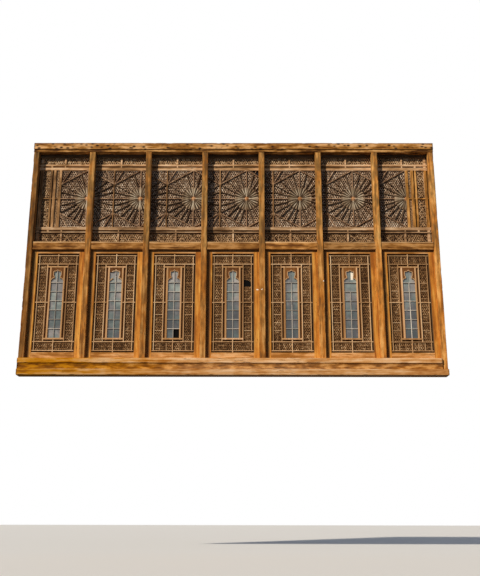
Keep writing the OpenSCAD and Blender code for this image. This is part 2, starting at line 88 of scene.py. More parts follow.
camera_data = bpy.data.cameras.new("camera")
camera_data.sensor_fit = "HORIZONTAL"
camera_data.sensor_width = SENSOR_MM
camera_data.lens = FOCAL_PX / IMAGE_W * SENSOR_MM
camera = bpy.data.objects.new("camera", camera_data)
turn = Matrix((side, top, -ahead)).transposed()
camera.matrix_world = Matrix.Translation(CAMERA_PLACE) @ turn.to_4x4()
bpy.context.scene.collection.objects.link(camera)
bpy.context.scene.camera = camera
bpy.context.scene.view_settings.view_transform = "Standard"
print("lens in mm:", round(camera_data.lens, 1))

# %% [markdown]
# Every finish is a small tree of shader nodes. One helper adds a node and another fills its
# inputs, so that a material reads from top to bottom like a recipe. Colours are written as on a
# paint card and turned into the linear numbers that light works with.

# %% Colour and node helpers
MM = 0.001


def linear(hex_colour, alpha=1.0):
    """Turns an sRGB hex colour into linear light: c / 12.92, or ((c + 0.055) / 1.055) ** 2.4."""
    parts = [int(hex_colour[i:i + 2], 16) / 255 for i in (1, 3, 5)]
    return tuple(c / 12.92 if c <= 0.04045 else ((c + 0.055) / 1.055) ** 2.4 for c in parts) + (alpha,)


def feed(node, inputs):
    """
    Fills a node's inputs. Another node is linked by its first output, a (node, output) pair by
    that output, a hex colour is made linear, and anything else is set as it is.
    """
    for name, source in inputs.items():
        if isinstance(source, bpy.types.Node):
            source = (source, 0)
        if isinstance(source, tuple) and isinstance(source[0], bpy.types.Node):
            node.id_data.links.new(source[0].outputs[source[1]], node.inputs[name])
        else:
            node.inputs[name].default_value = linear(source) if isinstance(source, str) else source


def add(tree, kind, inputs=None, **settings):
    """Adds a node of a kind with its settings, and fills its inputs."""
    node = tree.nodes.new("ShaderNode" + kind)
    for name, value in settings.items():
        setattr(node, name, value)
    feed(node, inputs or {})
    return node


def stops(ramp, *pairs):
    """Gives a colour ramp its stops, each a place from 0 to 1 and a hex colour."""
    elements = ramp.color_ramp.elements
    while len(elements) < len(pairs):
        elements.new(0.5)
    for element, (place, colour) in zip(elements, pairs):
        element.position = place
        element.color = linear(colour)
    return ramp


def new_material(name):
    """An empty material with its surface shader, and the tree to fill."""
    material = bpy.data.materials.new(name)
    material.use_nodes = True
    tree = material.node_tree
    tree.nodes.clear()
    shader = add(tree, "BsdfPrincipled")
    add(tree, "OutputMaterial", {"Surface": shader})
    return material, tree, shader


def band(tree, source, low, high, soft):
    """1 where a number lies between low and high, fading over the soft distance outside them."""
    rise = add(tree, "MapRange", {"Value": source, "From Min": low - soft, "From Max": low},
               interpolation_type="SMOOTHSTEP")
    fall = add(tree, "MapRange", {"Value": source, "From Min": high, "From Max": high + soft,
                                  "To Min": 1.0, "To Max": 0.0}, interpolation_type="SMOOTHSTEP")
    return add(tree, "Math", {0: rise, 1: fall}, operation="MULTIPLY")


print("white paint is", [round(c, 2) for c in linear("#FFFFFF")])

# %% [markdown]
# The screen is seen from below, so it is shown at its real height over a plain pale floor. One
# low sun from the upper left gives the hard-edged shadows of posts and rails, and an even light
# from all sides fills them. Camera, mirror and glass rays see plain white instead, so light and
# backdrop can be set apart.

# %% Floor, sun and fill light
FLOOR_Z = -2.70
FLOOR_REACH = 30.0
SUN_STRENGTH = 4.05
SUN_AZIMUTH, SUN_HEIGHT = math.radians(42), math.radians(31.3)
FILL_STRENGTH = 0.21

floor_mesh = bpy.data.meshes.new("floor")
floor_mesh.from_pydata([(x, y, FLOOR_Z) for x, y in
                        ((-FLOOR_REACH, -FLOOR_REACH), (FLOOR_REACH, -FLOOR_REACH),
                         (FLOOR_REACH, FLOOR_REACH), (-FLOOR_REACH, FLOOR_REACH))], [], [(0, 1, 2, 3)])
floor = bpy.data.objects.new("floor", floor_mesh)
bpy.context.scene.collection.objects.link(floor)

floor_paint, tree, shader = new_material("pale floor paint")
rays = add(tree, "LightPath")
shade = add(tree, "MixRGB", {"Fac": (rays, "Is Camera Ray"), "Color1": "#55534E",
                             "Color2": "#E6E4E0"})
feed(shader, {"Base Color": shade, "Roughness": 0.9})
floor_mesh.materials.append(floor_paint)

sun_light = bpy.data.lights.new("sun", "SUN")
sun_light.energy = SUN_STRENGTH
sun_light.angle = math.radians(3)
sun_light.color = linear("#FFF4E2")[:3]
sun = bpy.data.objects.new("sun", sun_light)
travel = Vector((math.sin(SUN_AZIMUTH) * math.cos(SUN_HEIGHT), math.cos(SUN_AZIMUTH) * math.cos(SUN_HEIGHT),
                 -math.sin(SUN_HEIGHT)))
sun.rotation_euler = travel.to_track_quat("-Z", "Y").to_euler()
bpy.context.scene.collection.objects.link(sun)

world = bpy.data.worlds.new("fill light")
bpy.context.scene.world = world
world.use_nodes = True
tree = world.node_tree
tree.nodes.clear()
rays = add(tree, "LightPath")
mirrored = add(tree, "Math", {0: (rays, "Is Glossy Ray"), 1: (rays, "Is Transmission Ray")},
               operation="MAXIMUM")
seen = add(tree, "Math", {0: mirrored, 1: (rays, "Is Camera Ray")}, operation="MAXIMUM")
fill = add(tree, "Background", {"Color": "#C8DCFF", "Strength": FILL_STRENGTH})
white = add(tree, "Background", {"Color": "#FFFFFF", "Strength": 1.0})
both = add(tree, "MixShader", {"Fac": seen, 1: fill, 2: white})
add(tree, "OutputWorld", {"Surface": both})
print("sun travels along", [round(v, 2) for v in travel])

# %% [markdown]
# All the wood here is pine or poplar that has stood in the open for a century. Each board shows
# the same three things at three sizes: fibres along the grain, broad streaks of early and late
# wood, and patches where rain and sun have got in. A board that dried too fast also has blotches
# and fine cracks along its fibres, which joiners call checks. One function gives all of these as
# numbers from 0 to 1, and each finish then turns them into its own colours.

# %% What every board shares
# How wide and how long each pattern is in mm. A fibre is really about 1 mm wide, and is drawn
# coarser so that it shows from 12 metres away.
FIBRE = (9, 320)
STREAK = (46, 1100)
PATCH = (520, 700)
CHECK = (30, 900)
BLOTCH = (62, 210)
FIBRE_SHARE, STREAK_SHARE, PATCH_SHARE = 0.25, 0.42, 0.33
DARKEST_TONE, LIGHTEST_TONE = 0.41, 0.59
CHECK_COLOUR = "#2A1B0E"


def wood_fields(tree, along, offset, blotchy=0.0):
    """Fibres, streaks, patches, blotches and drying checks of a board whose grain runs along X or Z."""
    place = (add(tree, "TexCoord"), "Object")

    def stretched(size_mm, detail):
        across, lengthwise = (1 / (size * MM) for size in size_mm)
        scale = (across, across, lengthwise) if along == "Z" else (lengthwise, across, across)
        spot = add(tree, "Mapping", {"Vector": place, "Scale": scale, "Location": (offset, offset, offset)})
        return add(tree, "TexNoise", {"Vector": spot, "Scale": 1.0, "Detail": detail, "Roughness": 0.6})

    fibre = stretched(FIBRE, 3.0)
    streak = stretched(STREAK, 3.0)
    patch = stretched(PATCH, 4.0)
    check = stretched(CHECK, 2.0)
    blotch = stretched(BLOTCH, 3.0)
    total = add(tree, "Math", {0: fibre, 1: FIBRE_SHARE, 2: 0.0}, operation="MULTIPLY_ADD")
    for pattern, share in ((streak, STREAK_SHARE), (patch, PATCH_SHARE), (blotch, blotchy)):
        total = add(tree, "Math", {0: pattern, 1: share, 2: total}, operation="MULTIPLY_ADD")
    tone = add(tree, "MapRange", {"Value": total, "From Min": DARKEST_TONE + blotchy / 2,
                                  "From Max": LIGHTEST_TONE + blotchy / 2})
    crack = band(tree, check, 0.496, 0.504, 0.006)
    where = add(tree, "MapRange", {"Value": patch, "From Min": 0.48, "From Max": 0.62})
    checks = add(tree, "Math", {0: crack, 1: where}, operation="MULTIPLY")
    return {"place": place, "apart": add(tree, "SeparateXYZ", {"Vector": place}), "blotch": blotch,
            "tone": tone, "checks": checks,
            "height": add(tree, "Math", {0: fibre, 1: checks}, operation="SUBTRACT")}


def timber_finish(name, along, offset, blotchy, *ramp):
    """A new material with its tree, shader and fields, and a colour ramp over the wood's tone."""
    material, tree, shader = new_material(name)
    fields = wood_fields(tree, along, offset, blotchy)
    return material, tree, shader, fields, stops(add(tree, "ValToRGB", {"Fac": fields["tone"]}), *ramp)


def finish_wood(tree, shader, colour, fields, roughness=0.78, relief_mm=0.8):
    """Darkens the drying checks, and gives the surface its roughness and raised fibres."""
    cracked = add(tree, "MixRGB", {"Fac": fields["checks"], "Color1": colour, "Color2": CHECK_COLOUR})
    bump = add(tree, "Bump", {"Height": fields["height"], "Strength": 0.6, "Distance": relief_mm * MM})
    feed(shader, {"Base Color": cracked, "Normal": bump, "Roughness": roughness, "IOR": 1.45,
                  "Specular IOR Level": 0.15})


def spots(tree, place, colour, where, paint):
    """Paints round spots (x, y, z, radius) over a colour, such as new wood where a chip came off."""
    for x, y, z, radius in where:
        away = (add(tree, "VectorMath", {0: place, 1: (x, y, z)}, operation="DISTANCE"), "Value")
        inside = add(tree, "MapRange", {"Value": away, "From Min": 0.6 * radius, "From Max": radius,
                                        "To Min": 1.0, "To Max": 0.0}, interpolation_type="SMOOTHSTEP")
        colour = add(tree, "MixRGB", {"Fac": inside, "Color1": colour, "Color2": paint})
    return colour


# %% [markdown]
# The posts are hewn pine, oiled once and since gone olive brown in the shade at the top, and
# golden lower down, where the sun reaches. The jambs are the same wood.

# %% Hewn posts
LOWER_TIER_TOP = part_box("transom_4")[0].z
TURNS_GOLDEN_OVER = 500 * MM
FRESH_WOOD = "#FFF4E4"
POST_CHIPS = [(0.480, -0.055, 1.440, 0.009), (0.491, -0.055, 1.449, 0.009), (1.514, -0.055, 1.590, 0.013)]
post_wood, tree, shader, fields, olive = timber_finish("hewn pine, weathered olive brown", "Z", 3.1, 0.3,
                                                       (0.0, "#6A4824"), (0.5, "#8E6836"), (1.0, "#B68E54"))
orange = stops(add(tree, "ValToRGB", {"Fac": fields["tone"]}), (0.0, "#844C16"), (0.5, "#AE6E2A"),
               (1.0, "#CE9856"))
below = band(tree, (fields["apart"], "Z"), -1.0, LOWER_TIER_TOP - TURNS_GOLDEN_OVER / 2, TURNS_GOLDEN_OVER)
hue = add(tree, "MapRange", {"Value": fields["blotch"], "From Min": 0.44, "From Max": 0.6, "To Max": 0.8})
hue = add(tree, "Math", {0: below, 1: 0.45, 2: hue}, operation="MULTIPLY_ADD", use_clamp=True)
colour = add(tree, "MixRGB", {"Fac": hue, "Color1": olive, "Color2": orange})
paler = add(tree, "MapRange", {"Value": (fields["apart"], "X"), "From Min": 0.3, "From Max": 2.9,
                               "To Min": 1.0, "To Max": 1.35}, interpolation_type="SMOOTHSTEP")
# Painted shade: the left jamb is darkened, as the shadow of the wall reveal beside it.
painted_wall_shade = add(tree, "MapRange", {"Value": (fields["apart"], "X"), "From Min": -3.4, "From Max": -3.3,
                                "To Min": 0.62, "To Max": 1.0})
value = add(tree, "Math", {0: paler, 1: painted_wall_shade}, operation="MULTIPLY")
own = (add(tree, "Attribute", attribute_name="own"), "Fac")
value = add(tree, "Math", {0: value, 1: own}, operation="MULTIPLY")
colour = add(tree, "HueSaturation", {"Value": value, "Color": colour})
colour = spots(tree, fields["place"], colour, POST_CHIPS, FRESH_WOOD)
finish_wood(tree, shader, colour, fields)

print("posts and jambs: golden below", round(LOWER_TIER_TOP, 2), "m, fresh chips:", len(POST_CHIPS))

# %% [markdown]
# Transoms, sill and head lie level, so their grain does too. A transom's top edge has a painted highlight,
# pale in patches where the sun catches it, which a narrow band of its height gives once its blotches thin it
# out.

# %% Transoms
transom_wood, tree, shader, fields, colour = timber_finish(
    "pine beam, weathered brown", "X", 11.7, 0.4, (0.0, "#5E3612"), (0.5, "#97642B"), (1.0, "#C89358"))
TRANSOM_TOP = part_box("transom_4")[1].z
# Painted highlight: the top edge is made pale where the sun catches it, in patches thinned by the blotches.
worn = band(tree, (fields["apart"], "Z"), TRANSOM_TOP - 16 * MM, TRANSOM_TOP, 12 * MM)
worn = add(tree, "Math", {0: worn, 1: fields["blotch"]}, operation="MULTIPLY")
colour = add(tree, "MixRGB", {"Fac": worn, "Color1": colour, "Color2": "#E6BE8C"})
own = (add(tree, "Attribute", attribute_name="own"), "Fac")
colour = add(tree, "HueSaturation", {"Value": own, "Color": colour})
finish_wood(tree, shader, colour, fields)

print("transoms: worn at", round(TRANSOM_TOP, 3), "m")

# %% [markdown]
# Rain has bleached the sill, most of all its top timber, and stained the hollow timber below it.
# Towards its left end the whole sill is darker and deeper in hue. One finish does for all three
# timbers, because it can tell them apart by their heights.

# %% Sill
SHADED_FROM, SHADED_TO = -3.4, -0.8
SILL_UPPER_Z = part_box("sill_upper")[0].z
SILL_MIDDLE_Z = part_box("sill_middle")[0].z
sill_wood, tree, shader, fields, bleached = timber_finish(
    "pine sill, bleached by rain", "X", 23.3, 0.25, (0.0, "#A8692C"), (0.45, "#D49C60"), (1.0, "#ECC296"))
stain = add(tree, "MapRange", {"Value": fields["blotch"], "From Min": 0.38, "From Max": 0.62})
stained = stops(add(tree, "ValToRGB", {"Fac": stain}), (0.0, "#64380C"), (0.35, "#864F14"),
                (0.65, "#A66A26"), (1.0, "#CE9450"))
streaked = add(tree, "MixRGB", {"Fac": 0.15, "Color1": stained, "Color2": bleached})
middle = band(tree, (fields["apart"], "Z"), SILL_MIDDLE_Z, SILL_UPPER_Z, 4 * MM)
colour = add(tree, "MixRGB", {"Fac": middle, "Color1": bleached, "Color2": streaked})
leftward = add(tree, "MapRange", {"Value": (fields["apart"], "X"), "From Min": SHADED_FROM,
                                  "From Max": SHADED_TO, "To Min": 0.76, "To Max": 1.0})
downward = add(tree, "MapRange", {"Value": (fields["apart"], "Z"), "From Min": SILL_MIDDLE_Z - 5 * MM,
                                  "From Max": SILL_MIDDLE_Z, "To Min": 0.92, "To Max": 1.0})
value = add(tree, "Math", {0: leftward, 1: downward}, operation="MULTIPLY")
deeper = add(tree, "MapRange", {"Value": (fields["apart"], "X"), "From Min": SHADED_FROM,
                                "From Max": SHADED_TO, "To Min": 1.3, "To Max": 1.0})
colour = add(tree, "HueSaturation", {"Value": value, "Color": colour, "Saturation": deeper})
finish_wood(tree, shader, colour, fields)

print("sill: stained from", round(SILL_MIDDLE_Z, 3), "to", round(SILL_UPPER_Z, 3), "m")

# %% [markdown]
# The head is a board over a beam. The board is scarred by old nails, each with a dark run of rust, and has a
# painted shadow along its top, as under the eaves. The nails are the points of a cell pattern, which is
# squeezed along the board and up it, so that each spot comes out upright. The beam is dark with smoke.

# %% Head
NAIL_SPREAD = (9.0, 1.0, 16.0)
head_wood, tree, shader, fields, colour = timber_finish(
    "pine head board, nail-scarred", "X", 37.9, 0.45, (0.0, "#6E4012"), (0.5, "#B07A38"), (1.0, "#E2B078"))
spread = add(tree, "Mapping", {"Vector": fields["place"], "Scale": NAIL_SPREAD})
nails = add(tree, "TexVoronoi", {"Vector": spread, "Scale": 1.0, "Randomness": 1.0})
rust = add(tree, "MapRange", {"Value": nails, "From Min": 0.12, "From Max": 0.4, "To Min": 1.0,
                              "To Max": 0.0}, interpolation_type="SMOOTHSTEP")
colour = add(tree, "MixRGB", {"Fac": rust, "Color1": colour, "Color2": "#2E1A0A"})
# Painted shadow: the board's top edge is darkened, as under the eaves.
painted_eave_shadow = add(tree, "MapRange", {"Value": (fields["apart"], "Z"), "From Min": cad_hi.z - 22 * MM,
                              "From Max": cad_hi.z - 10 * MM, "To Max": 0.7})
colour = add(tree, "MixRGB", {"Fac": painted_eave_shadow, "Color1": colour, "Color2": "#5E3A18"})
finish_wood(tree, shader, colour, fields)

beam_wood, tree, shader, fields, colour = timber_finish(
    "pine head beam, smoke-darkened", "X", 51.3, 0.5, (0.0, "#4A2A0C"), (0.5, "#9A6A30"), (1.0, "#D8A668"))
finish_wood(tree, shader, colour, fields)
print("head: a nail for every", round(1 / NAIL_SPREAD[0] / MM), "mm")

# %% [markdown]
# All seven sashes have the same sizes. Each size is a bar's width or the gap between two bars,
# and the rest follows from the model's own box of the fourth sash, whose middle is at x = 0.

# %% Sizes of a sash
SASH_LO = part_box("sash_4")[0]
BAY_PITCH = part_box("sash_5")[0].x - SASH_LO.x
LATTICE_LO, LATTICE_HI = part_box("sash_lattice_4")
BEAD_FRONT, BEAD_BACK = LATTICE_LO.y, LATTICE_HI.y
OPENING_HALF_W = LATTICE_HI.x
OPENING_LO_Z, OPENING_HI_Z = LATTICE_LO.z, LATTICE_HI.z
BEAD_W, INNER_BEAD_W, FRAME_W, TIE_W, GLAZING_W = (w * MM for w in (16, 18, 27, 18, 10))
OUTER_HALF_W = OPENING_HALF_W - 20 * MM
OUTER_LO_Z, OUTER_HI_Z = OPENING_LO_Z + 20 * MM, OPENING_HI_Z - 20 * MM
INNER_LO_Z, INNER_HI_Z = OUTER_LO_Z + BEAD_W + 132 * MM, OUTER_HI_Z - BEAD_W - 132 * MM
GLASS_HALF_W = 102 * MM
WINDOW_HALF_W = GLASS_HALF_W + FRAME_W
INNER_HALF_W = WINDOW_HALF_W + 34 * MM + INNER_BEAD_W
WINDOW_LO_Z, WINDOW_HI_Z = INNER_LO_Z + INNER_BEAD_W + 27 * MM, INNER_HI_Z - INNER_BEAD_W - 27 * MM
TIE_Z = (OPENING_LO_Z + OPENING_HI_Z) / 2
ARCH_TIP_Z = WINDOW_HI_Z - FRAME_W - 41 * MM
ARCH_RISE = 172 * MM
ARCH_SPRINGING = ARCH_TIP_Z - ARCH_RISE
PANE_LO_Z = WINDOW_LO_Z + FRAME_W
PANE_ROWS = 6
PANE_H = (ARCH_SPRINGING - 47 * MM - PANE_LO_Z) / PANE_ROWS
# The two sides of a bay, and where the middles of the beads are: the outer ring's and the inner's
SIDES = (-1, 1)
OUTER_X, INNER_X = OUTER_HALF_W - BEAD_W / 2, INNER_HALF_W - INNER_BEAD_W / 2
OUTER_Z = (OUTER_LO_Z + BEAD_W / 2, OUTER_HI_Z - BEAD_W / 2)
INNER_Z = (INNER_LO_Z + INNER_BEAD_W / 2, INNER_HI_Z - INNER_BEAD_W / 2)


def bay_middle(bay):
    """Where the middle of a bay is along X: so many pitches from the fourth bay's, which is at 0."""
    return (bay - 4) * BAY_PITCH


print("bay pitch in mm:", round(BAY_PITCH / MM, 1), "pane height in mm:", round(PANE_H / MM, 1))

# %% [markdown]
# A sash's stiles stand upright and its rails lie across, so one finish holds both grains, and a number on
# each board says which one it is. The boards sit behind the posts, out of the rain, and kept their orange.
# Painted shade turns them grey-brown along the left post and under the transom, where the shadows of post
# and transom fall, and on the inner edges of the right stile and the top rail, where shadow lines run round
# the opening.

# %% Finish of the sash boards
UNSHADED_EDGE = 30 * MM
STILE_CHIPS = [(0.404, 0.005, 1.455, 0.014), (0.417, 0.005, 1.453, 0.013)]
sash_wood, tree, shader = new_material("planed pine boards, sheltered orange")
upright = wood_fields(tree, "Z", 7.7, blotchy=0.2)
across = wood_fields(tree, "X", 13.9, blotchy=0.35)
own = (add(tree, "Attribute", attribute_name="own"), "Fac")
level = (add(tree, "Attribute", attribute_name="level"), "Fac")
stiles = stops(add(tree, "ValToRGB", {"Fac": upright["tone"]}), (0.0, "#96581E"), (0.5, "#C58030"),
               (1.0, "#E0A650"))
shift = add(tree, "Math", {0: own, 1: 0.16, 2: -0.19}, operation="MULTIPLY_ADD")
tone = add(tree, "Math", {0: shift, 1: across["tone"]}, operation="ADD", use_clamp=True)
rails = stops(add(tree, "ValToRGB", {"Fac": tone}), (0.0, "#986226"), (0.5, "#C88E50"), (1.0, "#E6B680"))
colour = add(tree, "MixRGB", {"Fac": level, "Color1": stiles, "Color2": rails})
bay_x = add(tree, "Math", {0: (upright["apart"], "X"), 1: BAY_PITCH / 2, 2: -BAY_PITCH / 2},
            operation="WRAP")
# Painted shade: the left stile beyond the unshaded edge is darkened as the post's shadow, the top rail's
# upper part as the transom's shadow, and the right stile's and top rail's inner edges as shadow lines round
# the opening.
left = add(tree, "MapRange", {"Value": bay_x, "From Min": -OPENING_HALF_W - UNSHADED_EDGE - 8 * MM,
                              "From Max": -OPENING_HALF_W - UNSHADED_EDGE, "To Min": 0.74, "To Max": 0.0},
           interpolation_type="SMOOTHSTEP")
high = add(tree, "MapRange", {"Value": (upright["apart"], "Z"), "From Min": OPENING_HI_Z + UNSHADED_EDGE,
                              "From Max": OPENING_HI_Z + UNSHADED_EDGE + 8 * MM, "To Min": 0.0, "To Max": 0.7},
           interpolation_type="SMOOTHSTEP")
painted_shade = add(tree, "Math", {0: left, 1: high}, operation="MAXIMUM")
beside = band(tree, bay_x, -OPENING_HALF_W, OPENING_HALF_W + 11 * MM, 4 * MM)
over = band(tree, (upright["apart"], "Z"), OPENING_LO_Z, OPENING_HI_Z + 8 * MM, 4 * MM)
edge = add(tree, "Math", {0: beside, 1: over}, operation="MULTIPLY")
painted_shade = add(tree, "Math", {0: painted_shade, 1: edge}, operation="MAXIMUM")
colour = add(tree, "MixRGB", {"Fac": painted_shade, "Color1": colour, "Color2": "#5A4028"})
colour = spots(tree, upright["place"], colour, STILE_CHIPS, FRESH_WOOD)
grain = {}
for part in ("checks", "height"):
    differs = add(tree, "Math", {0: across[part], 1: upright[part]}, operation="SUBTRACT")
    grain[part] = add(tree, "Math", {0: differs, 1: level, 2: upright[part]}, operation="MULTIPLY_ADD")
finish_wood(tree, shader, colour, grain, roughness=0.7, relief_mm=0.4)
print("sash boards: clean for", round(UNSHADED_EDGE / MM), "mm round the opening")

# %% [markdown]
# Beads and laths are split and planed one by one, so no two have the same colour, and the dust
# lies unevenly on them. Each point of a bar carries the bar's own number between 0 and 1.

# %% Finish for bars that each have their own tone
OWN_SHARE = 0.6
BAR_STOPS = (0.05, 0.45, 0.75, 0.98)
SPECK_SCALE = 36.0      # about 28 mm from speck to speck


def bar_finish(name, offset, *colours, specks=0.0):
    """
    A dusty bar whose tone comes mostly from its own number, and the rest from its fibres. Specks
    are pale and dark places as wide as a finger, where dust has settled or been rubbed away.
    """
    material, tree, shader = new_material(name)
    fields = wood_fields(tree, "Z", offset)
    own = (add(tree, "Attribute", attribute_name="own"), "Fac")
    part = add(tree, "Math", {0: own, 1: OWN_SHARE}, operation="MULTIPLY")
    tone = add(tree, "Math", {0: fields["tone"], 1: 1 - OWN_SHARE, 2: part}, operation="MULTIPLY_ADD")
    dust = add(tree, "TexNoise", {"Vector": fields["place"], "Scale": SPECK_SCALE, "Detail": 1.0})
    dust = add(tree, "MapRange", {"Value": dust, "From Min": 0.3, "From Max": 0.7, "To Min": -specks,
                                  "To Max": specks}, clamp=False)
    tone = add(tree, "Math", {0: tone, 1: dust}, operation="ADD")
    colour = stops(add(tree, "ValToRGB", {"Fac": tone}), *zip(BAR_STOPS, colours))
    finish_wood(tree, shader, colour, fields, relief_mm=0.3)
    return material


bead_wood = bar_finish("planed pine beads, pale and dusty", 29.1,
                       "#8E6A44", "#BC966C", "#D4B086", "#E8CCA6")
frame_wood = bar_finish("planed window frame, sun-tanned", 31.3,
                        "#946A3E", "#BC9060", "#D4A87C", "#E8C49E")
glazing_wood = bar_finish("planed glazing bars, grey and dusty", 33.7,
                          "#8A857C", "#B2AAA0", "#CFC6BA", "#EFE7DB")
arch_wood = bar_finish("carved arch bead, pale and worn", 47.5,
                       "#A07C56", "#C8A27A", "#DCBA94", "#EFD3B3")
spandrel_wood = bar_finish("sawn arch board, deep orange", 53.9,
                           "#4C2C12", "#6E4420", "#86562A", "#A6723E")
sash_lath = bar_finish("split laths, brown and dusty", 71.9,
                       "#4A311B", "#7E5B39", "#A1794F", "#D4B289", specks=0.35)
star_lath = bar_finish("split laths, grey with dust", 61.3,
                       "#5C4232", "#B09278", "#D8BC9E", "#F2E0CA", specks=0.45)
strip_lath = bar_finish("split laths, washed brown by rain", 65.7,
                        "#4E3420", "#A07C54", "#CCA478", "#F0D4AC", specks=0.45)
print("specks about", round(1 / SPECK_SCALE / MM), "mm apart")

# %% [markdown]
# The upper panel was never oiled. Its upright boards are brown, and golden at the right end, where they were
# renewed. Its upper rail is bleached by the sun, with a painted shadow right under the head, and its lower
# one is greyed and has a painted shadow line under it. The boards are one solid in the model, so the finish
# tells rails from uprights by their heights.

# %% Rails and uprights of the upper panel
LOW_RAIL_Z = 2475 * MM
RENEWED_FROM, RENEWED_TO = 2.9, 3.0
panel_wood, tree, shader = new_material("planed rails, dry brown")
fields = wood_fields(tree, "X", 5.3, blotchy=0.3)
upright = wood_fields(tree, "Z", 19.1, blotchy=0.3)
colour = stops(add(tree, "ValToRGB", {"Fac": upright["tone"]}), (0.0, "#5C4024"), (0.4, "#86623C"),
               (0.7, "#A67C50"), (1.0, "#CAA074"))
golden = stops(add(tree, "ValToRGB", {"Fac": upright["tone"]}), (0.0, "#6E4A22"), (0.4, "#96682F"),
               (0.7, "#B8803E"), (1.0, "#D8A462"))
right_end = add(tree, "MapRange", {"Value": (fields["apart"], "X"), "From Min": RENEWED_FROM,
                                   "From Max": RENEWED_TO})
colour = add(tree, "MixRGB", {"Fac": right_end, "Color1": colour, "Color2": golden})
greyed = stops(add(tree, "ValToRGB", {"Fac": fields["tone"]}), (0.0, "#6E5236"), (0.4, "#A27E5A"),
               (0.7, "#B8946E"), (1.0, "#D8B894"))
sunned = stops(add(tree, "ValToRGB", {"Fac": fields["tone"]}), (0.0, "#85603A"), (0.4, "#BA9064"),
               (0.7, "#D2A87E"), (1.0, "#EAC8A2"))
STAR_LO, STAR_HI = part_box("sunburst_4")
for low, high, paint in ((STAR_HI.z, STAR_HI.z + 1.0, sunned), (0.0, STAR_LO.z, greyed)):
    rails = band(tree, (fields["apart"], "Z"), low, high, 2 * MM)
    colour = add(tree, "MixRGB", {"Fac": rails, "Color1": colour, "Color2": paint})
# Painted shade: a dark line along the lower rail's foot, where its shadow falls.
under = band(tree, (fields["apart"], "Z"), LOW_RAIL_Z - 4 * MM, LOW_RAIL_Z + 9 * MM, 2 * MM)
colour = add(tree, "MixRGB", {"Fac": under, "Color1": colour, "Color2": "#3A2414"})
PANEL_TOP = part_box("upper_frame")[1].z
# Painted shadow: the top of the panel darkened, where the head's shadow lies.
painted_head_shadow = add(tree, "MapRange", {"Value": (fields["apart"], "Z"), "From Min": PANEL_TOP - 130 * MM,
                              "From Max": PANEL_TOP - 80 * MM, "To Max": 0.85})
colour = add(tree, "MixRGB", {"Fac": painted_head_shadow, "Color1": colour, "Color2": "#20160F"})
finish_wood(tree, shader, colour, fields, relief_mm=0.4)

print("upper panel: rails above", round(STAR_HI.z, 3), "and below", round(STAR_LO.z, 3), "m")

# %% [markdown]
# The slats round each boss have weathered to silver. The rays between them are dark brown bars, painted
# darker still as painted shade for the shadows they cast beside them. Both are one solid in the model. The
# finish therefore works out its own distance and angle from the middle of the nearest star: WRAP repeats one
# star's x along the panel, and the angle within a 24th of a turn says whether a point is on a ray. Each slat
# has its own tone, from the number of its sector and star. The lattice strips between the stars have a plain
# finish, grey with dust.

# %% Lattice and sunburst stars
lattice_wood, tree, shader, fields, colour = timber_finish(
    "fine lattice laths, grey with dust", "Z", 17.7, 0.0,
    (0.0, "#644A30"), (0.4, "#907050"), (0.7, "#AA8A68"), (1.0, "#C8AA88"))
finish_wood(tree, shader, colour, fields, relief_mm=0.3)

STAR_X, STAR_Z = (STAR_LO.x + STAR_HI.x) / 2, (STAR_LO.z + STAR_HI.z) / 2
STAR_PITCH = STAR_X - (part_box("sunburst_3")[0].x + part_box("sunburst_3")[1].x) / 2
BOSS_R = 44 * MM
SLAT_R = 205 * MM
SILVER_R = 120 * MM
RAY_COUNT = 24
RAY_W = 11 * MM
star_wood, tree, shader, fields, laths = timber_finish(
    "sunburst laths, silvered round the boss", "Z", 41.9, 0.0,
    (0.0, "#5A4029"), (0.4, "#82634A"), (0.7, "#9C7C60"), (1.0, "#C0A080"))
boss = stops(add(tree, "ValToRGB", {"Fac": fields["tone"]}), (0.0, "#8A5830"), (0.5, "#B47E50"),
             (1.0, "#DAAC82"))
centred = add(tree, "Math", {0: (fields["apart"], "X"), 1: STAR_X - STAR_PITCH / 2}, operation="SUBTRACT")
along_x = add(tree, "Math", {0: centred, 1: STAR_PITCH, 2: 0.0}, operation="WRAP")
along_x = add(tree, "Math", {0: along_x, 1: STAR_PITCH / 2}, operation="SUBTRACT")
along_z = add(tree, "Math", {0: (fields["apart"], "Z"), 1: STAR_Z}, operation="SUBTRACT")
flat = add(tree, "CombineXYZ", {"X": along_x, "Z": along_z})
radius = (add(tree, "VectorMath", {0: flat}, operation="LENGTH"), "Value")
angle = add(tree, "Math", {0: along_z, 1: along_x}, operation="ARCTAN2")
turned = add(tree, "Math", {0: angle, 1: math.pi / RAY_COUNT, 2: -math.pi / RAY_COUNT}, operation="WRAP")
sector = add(tree, "Math", {0: angle, 1: RAY_COUNT / math.pi, 2: 0.5}, operation="MULTIPLY_ADD")
star_number = add(tree, "Math", {0: centred, 1: STAR_PITCH}, operation="DIVIDE")
which = add(tree, "CombineXYZ", {"X": sector, "Y": star_number})
which = add(tree, "VectorMath", {0: which}, operation="FLOOR")
own = add(tree, "TexWhiteNoise", {"Vector": which}, noise_dimensions="2D")
part = add(tree, "Math", {0: own, 1: OWN_SHARE}, operation="MULTIPLY")
slat_tone = add(tree, "Math", {0: fields["tone"], 1: 1 - OWN_SHARE, 2: part}, operation="MULTIPLY_ADD")
silver = stops(add(tree, "ValToRGB", {"Fac": slat_tone}), (0.1, "#75644C"), (0.5, "#A6937A"),
               (0.9, "#D6C8B0"))
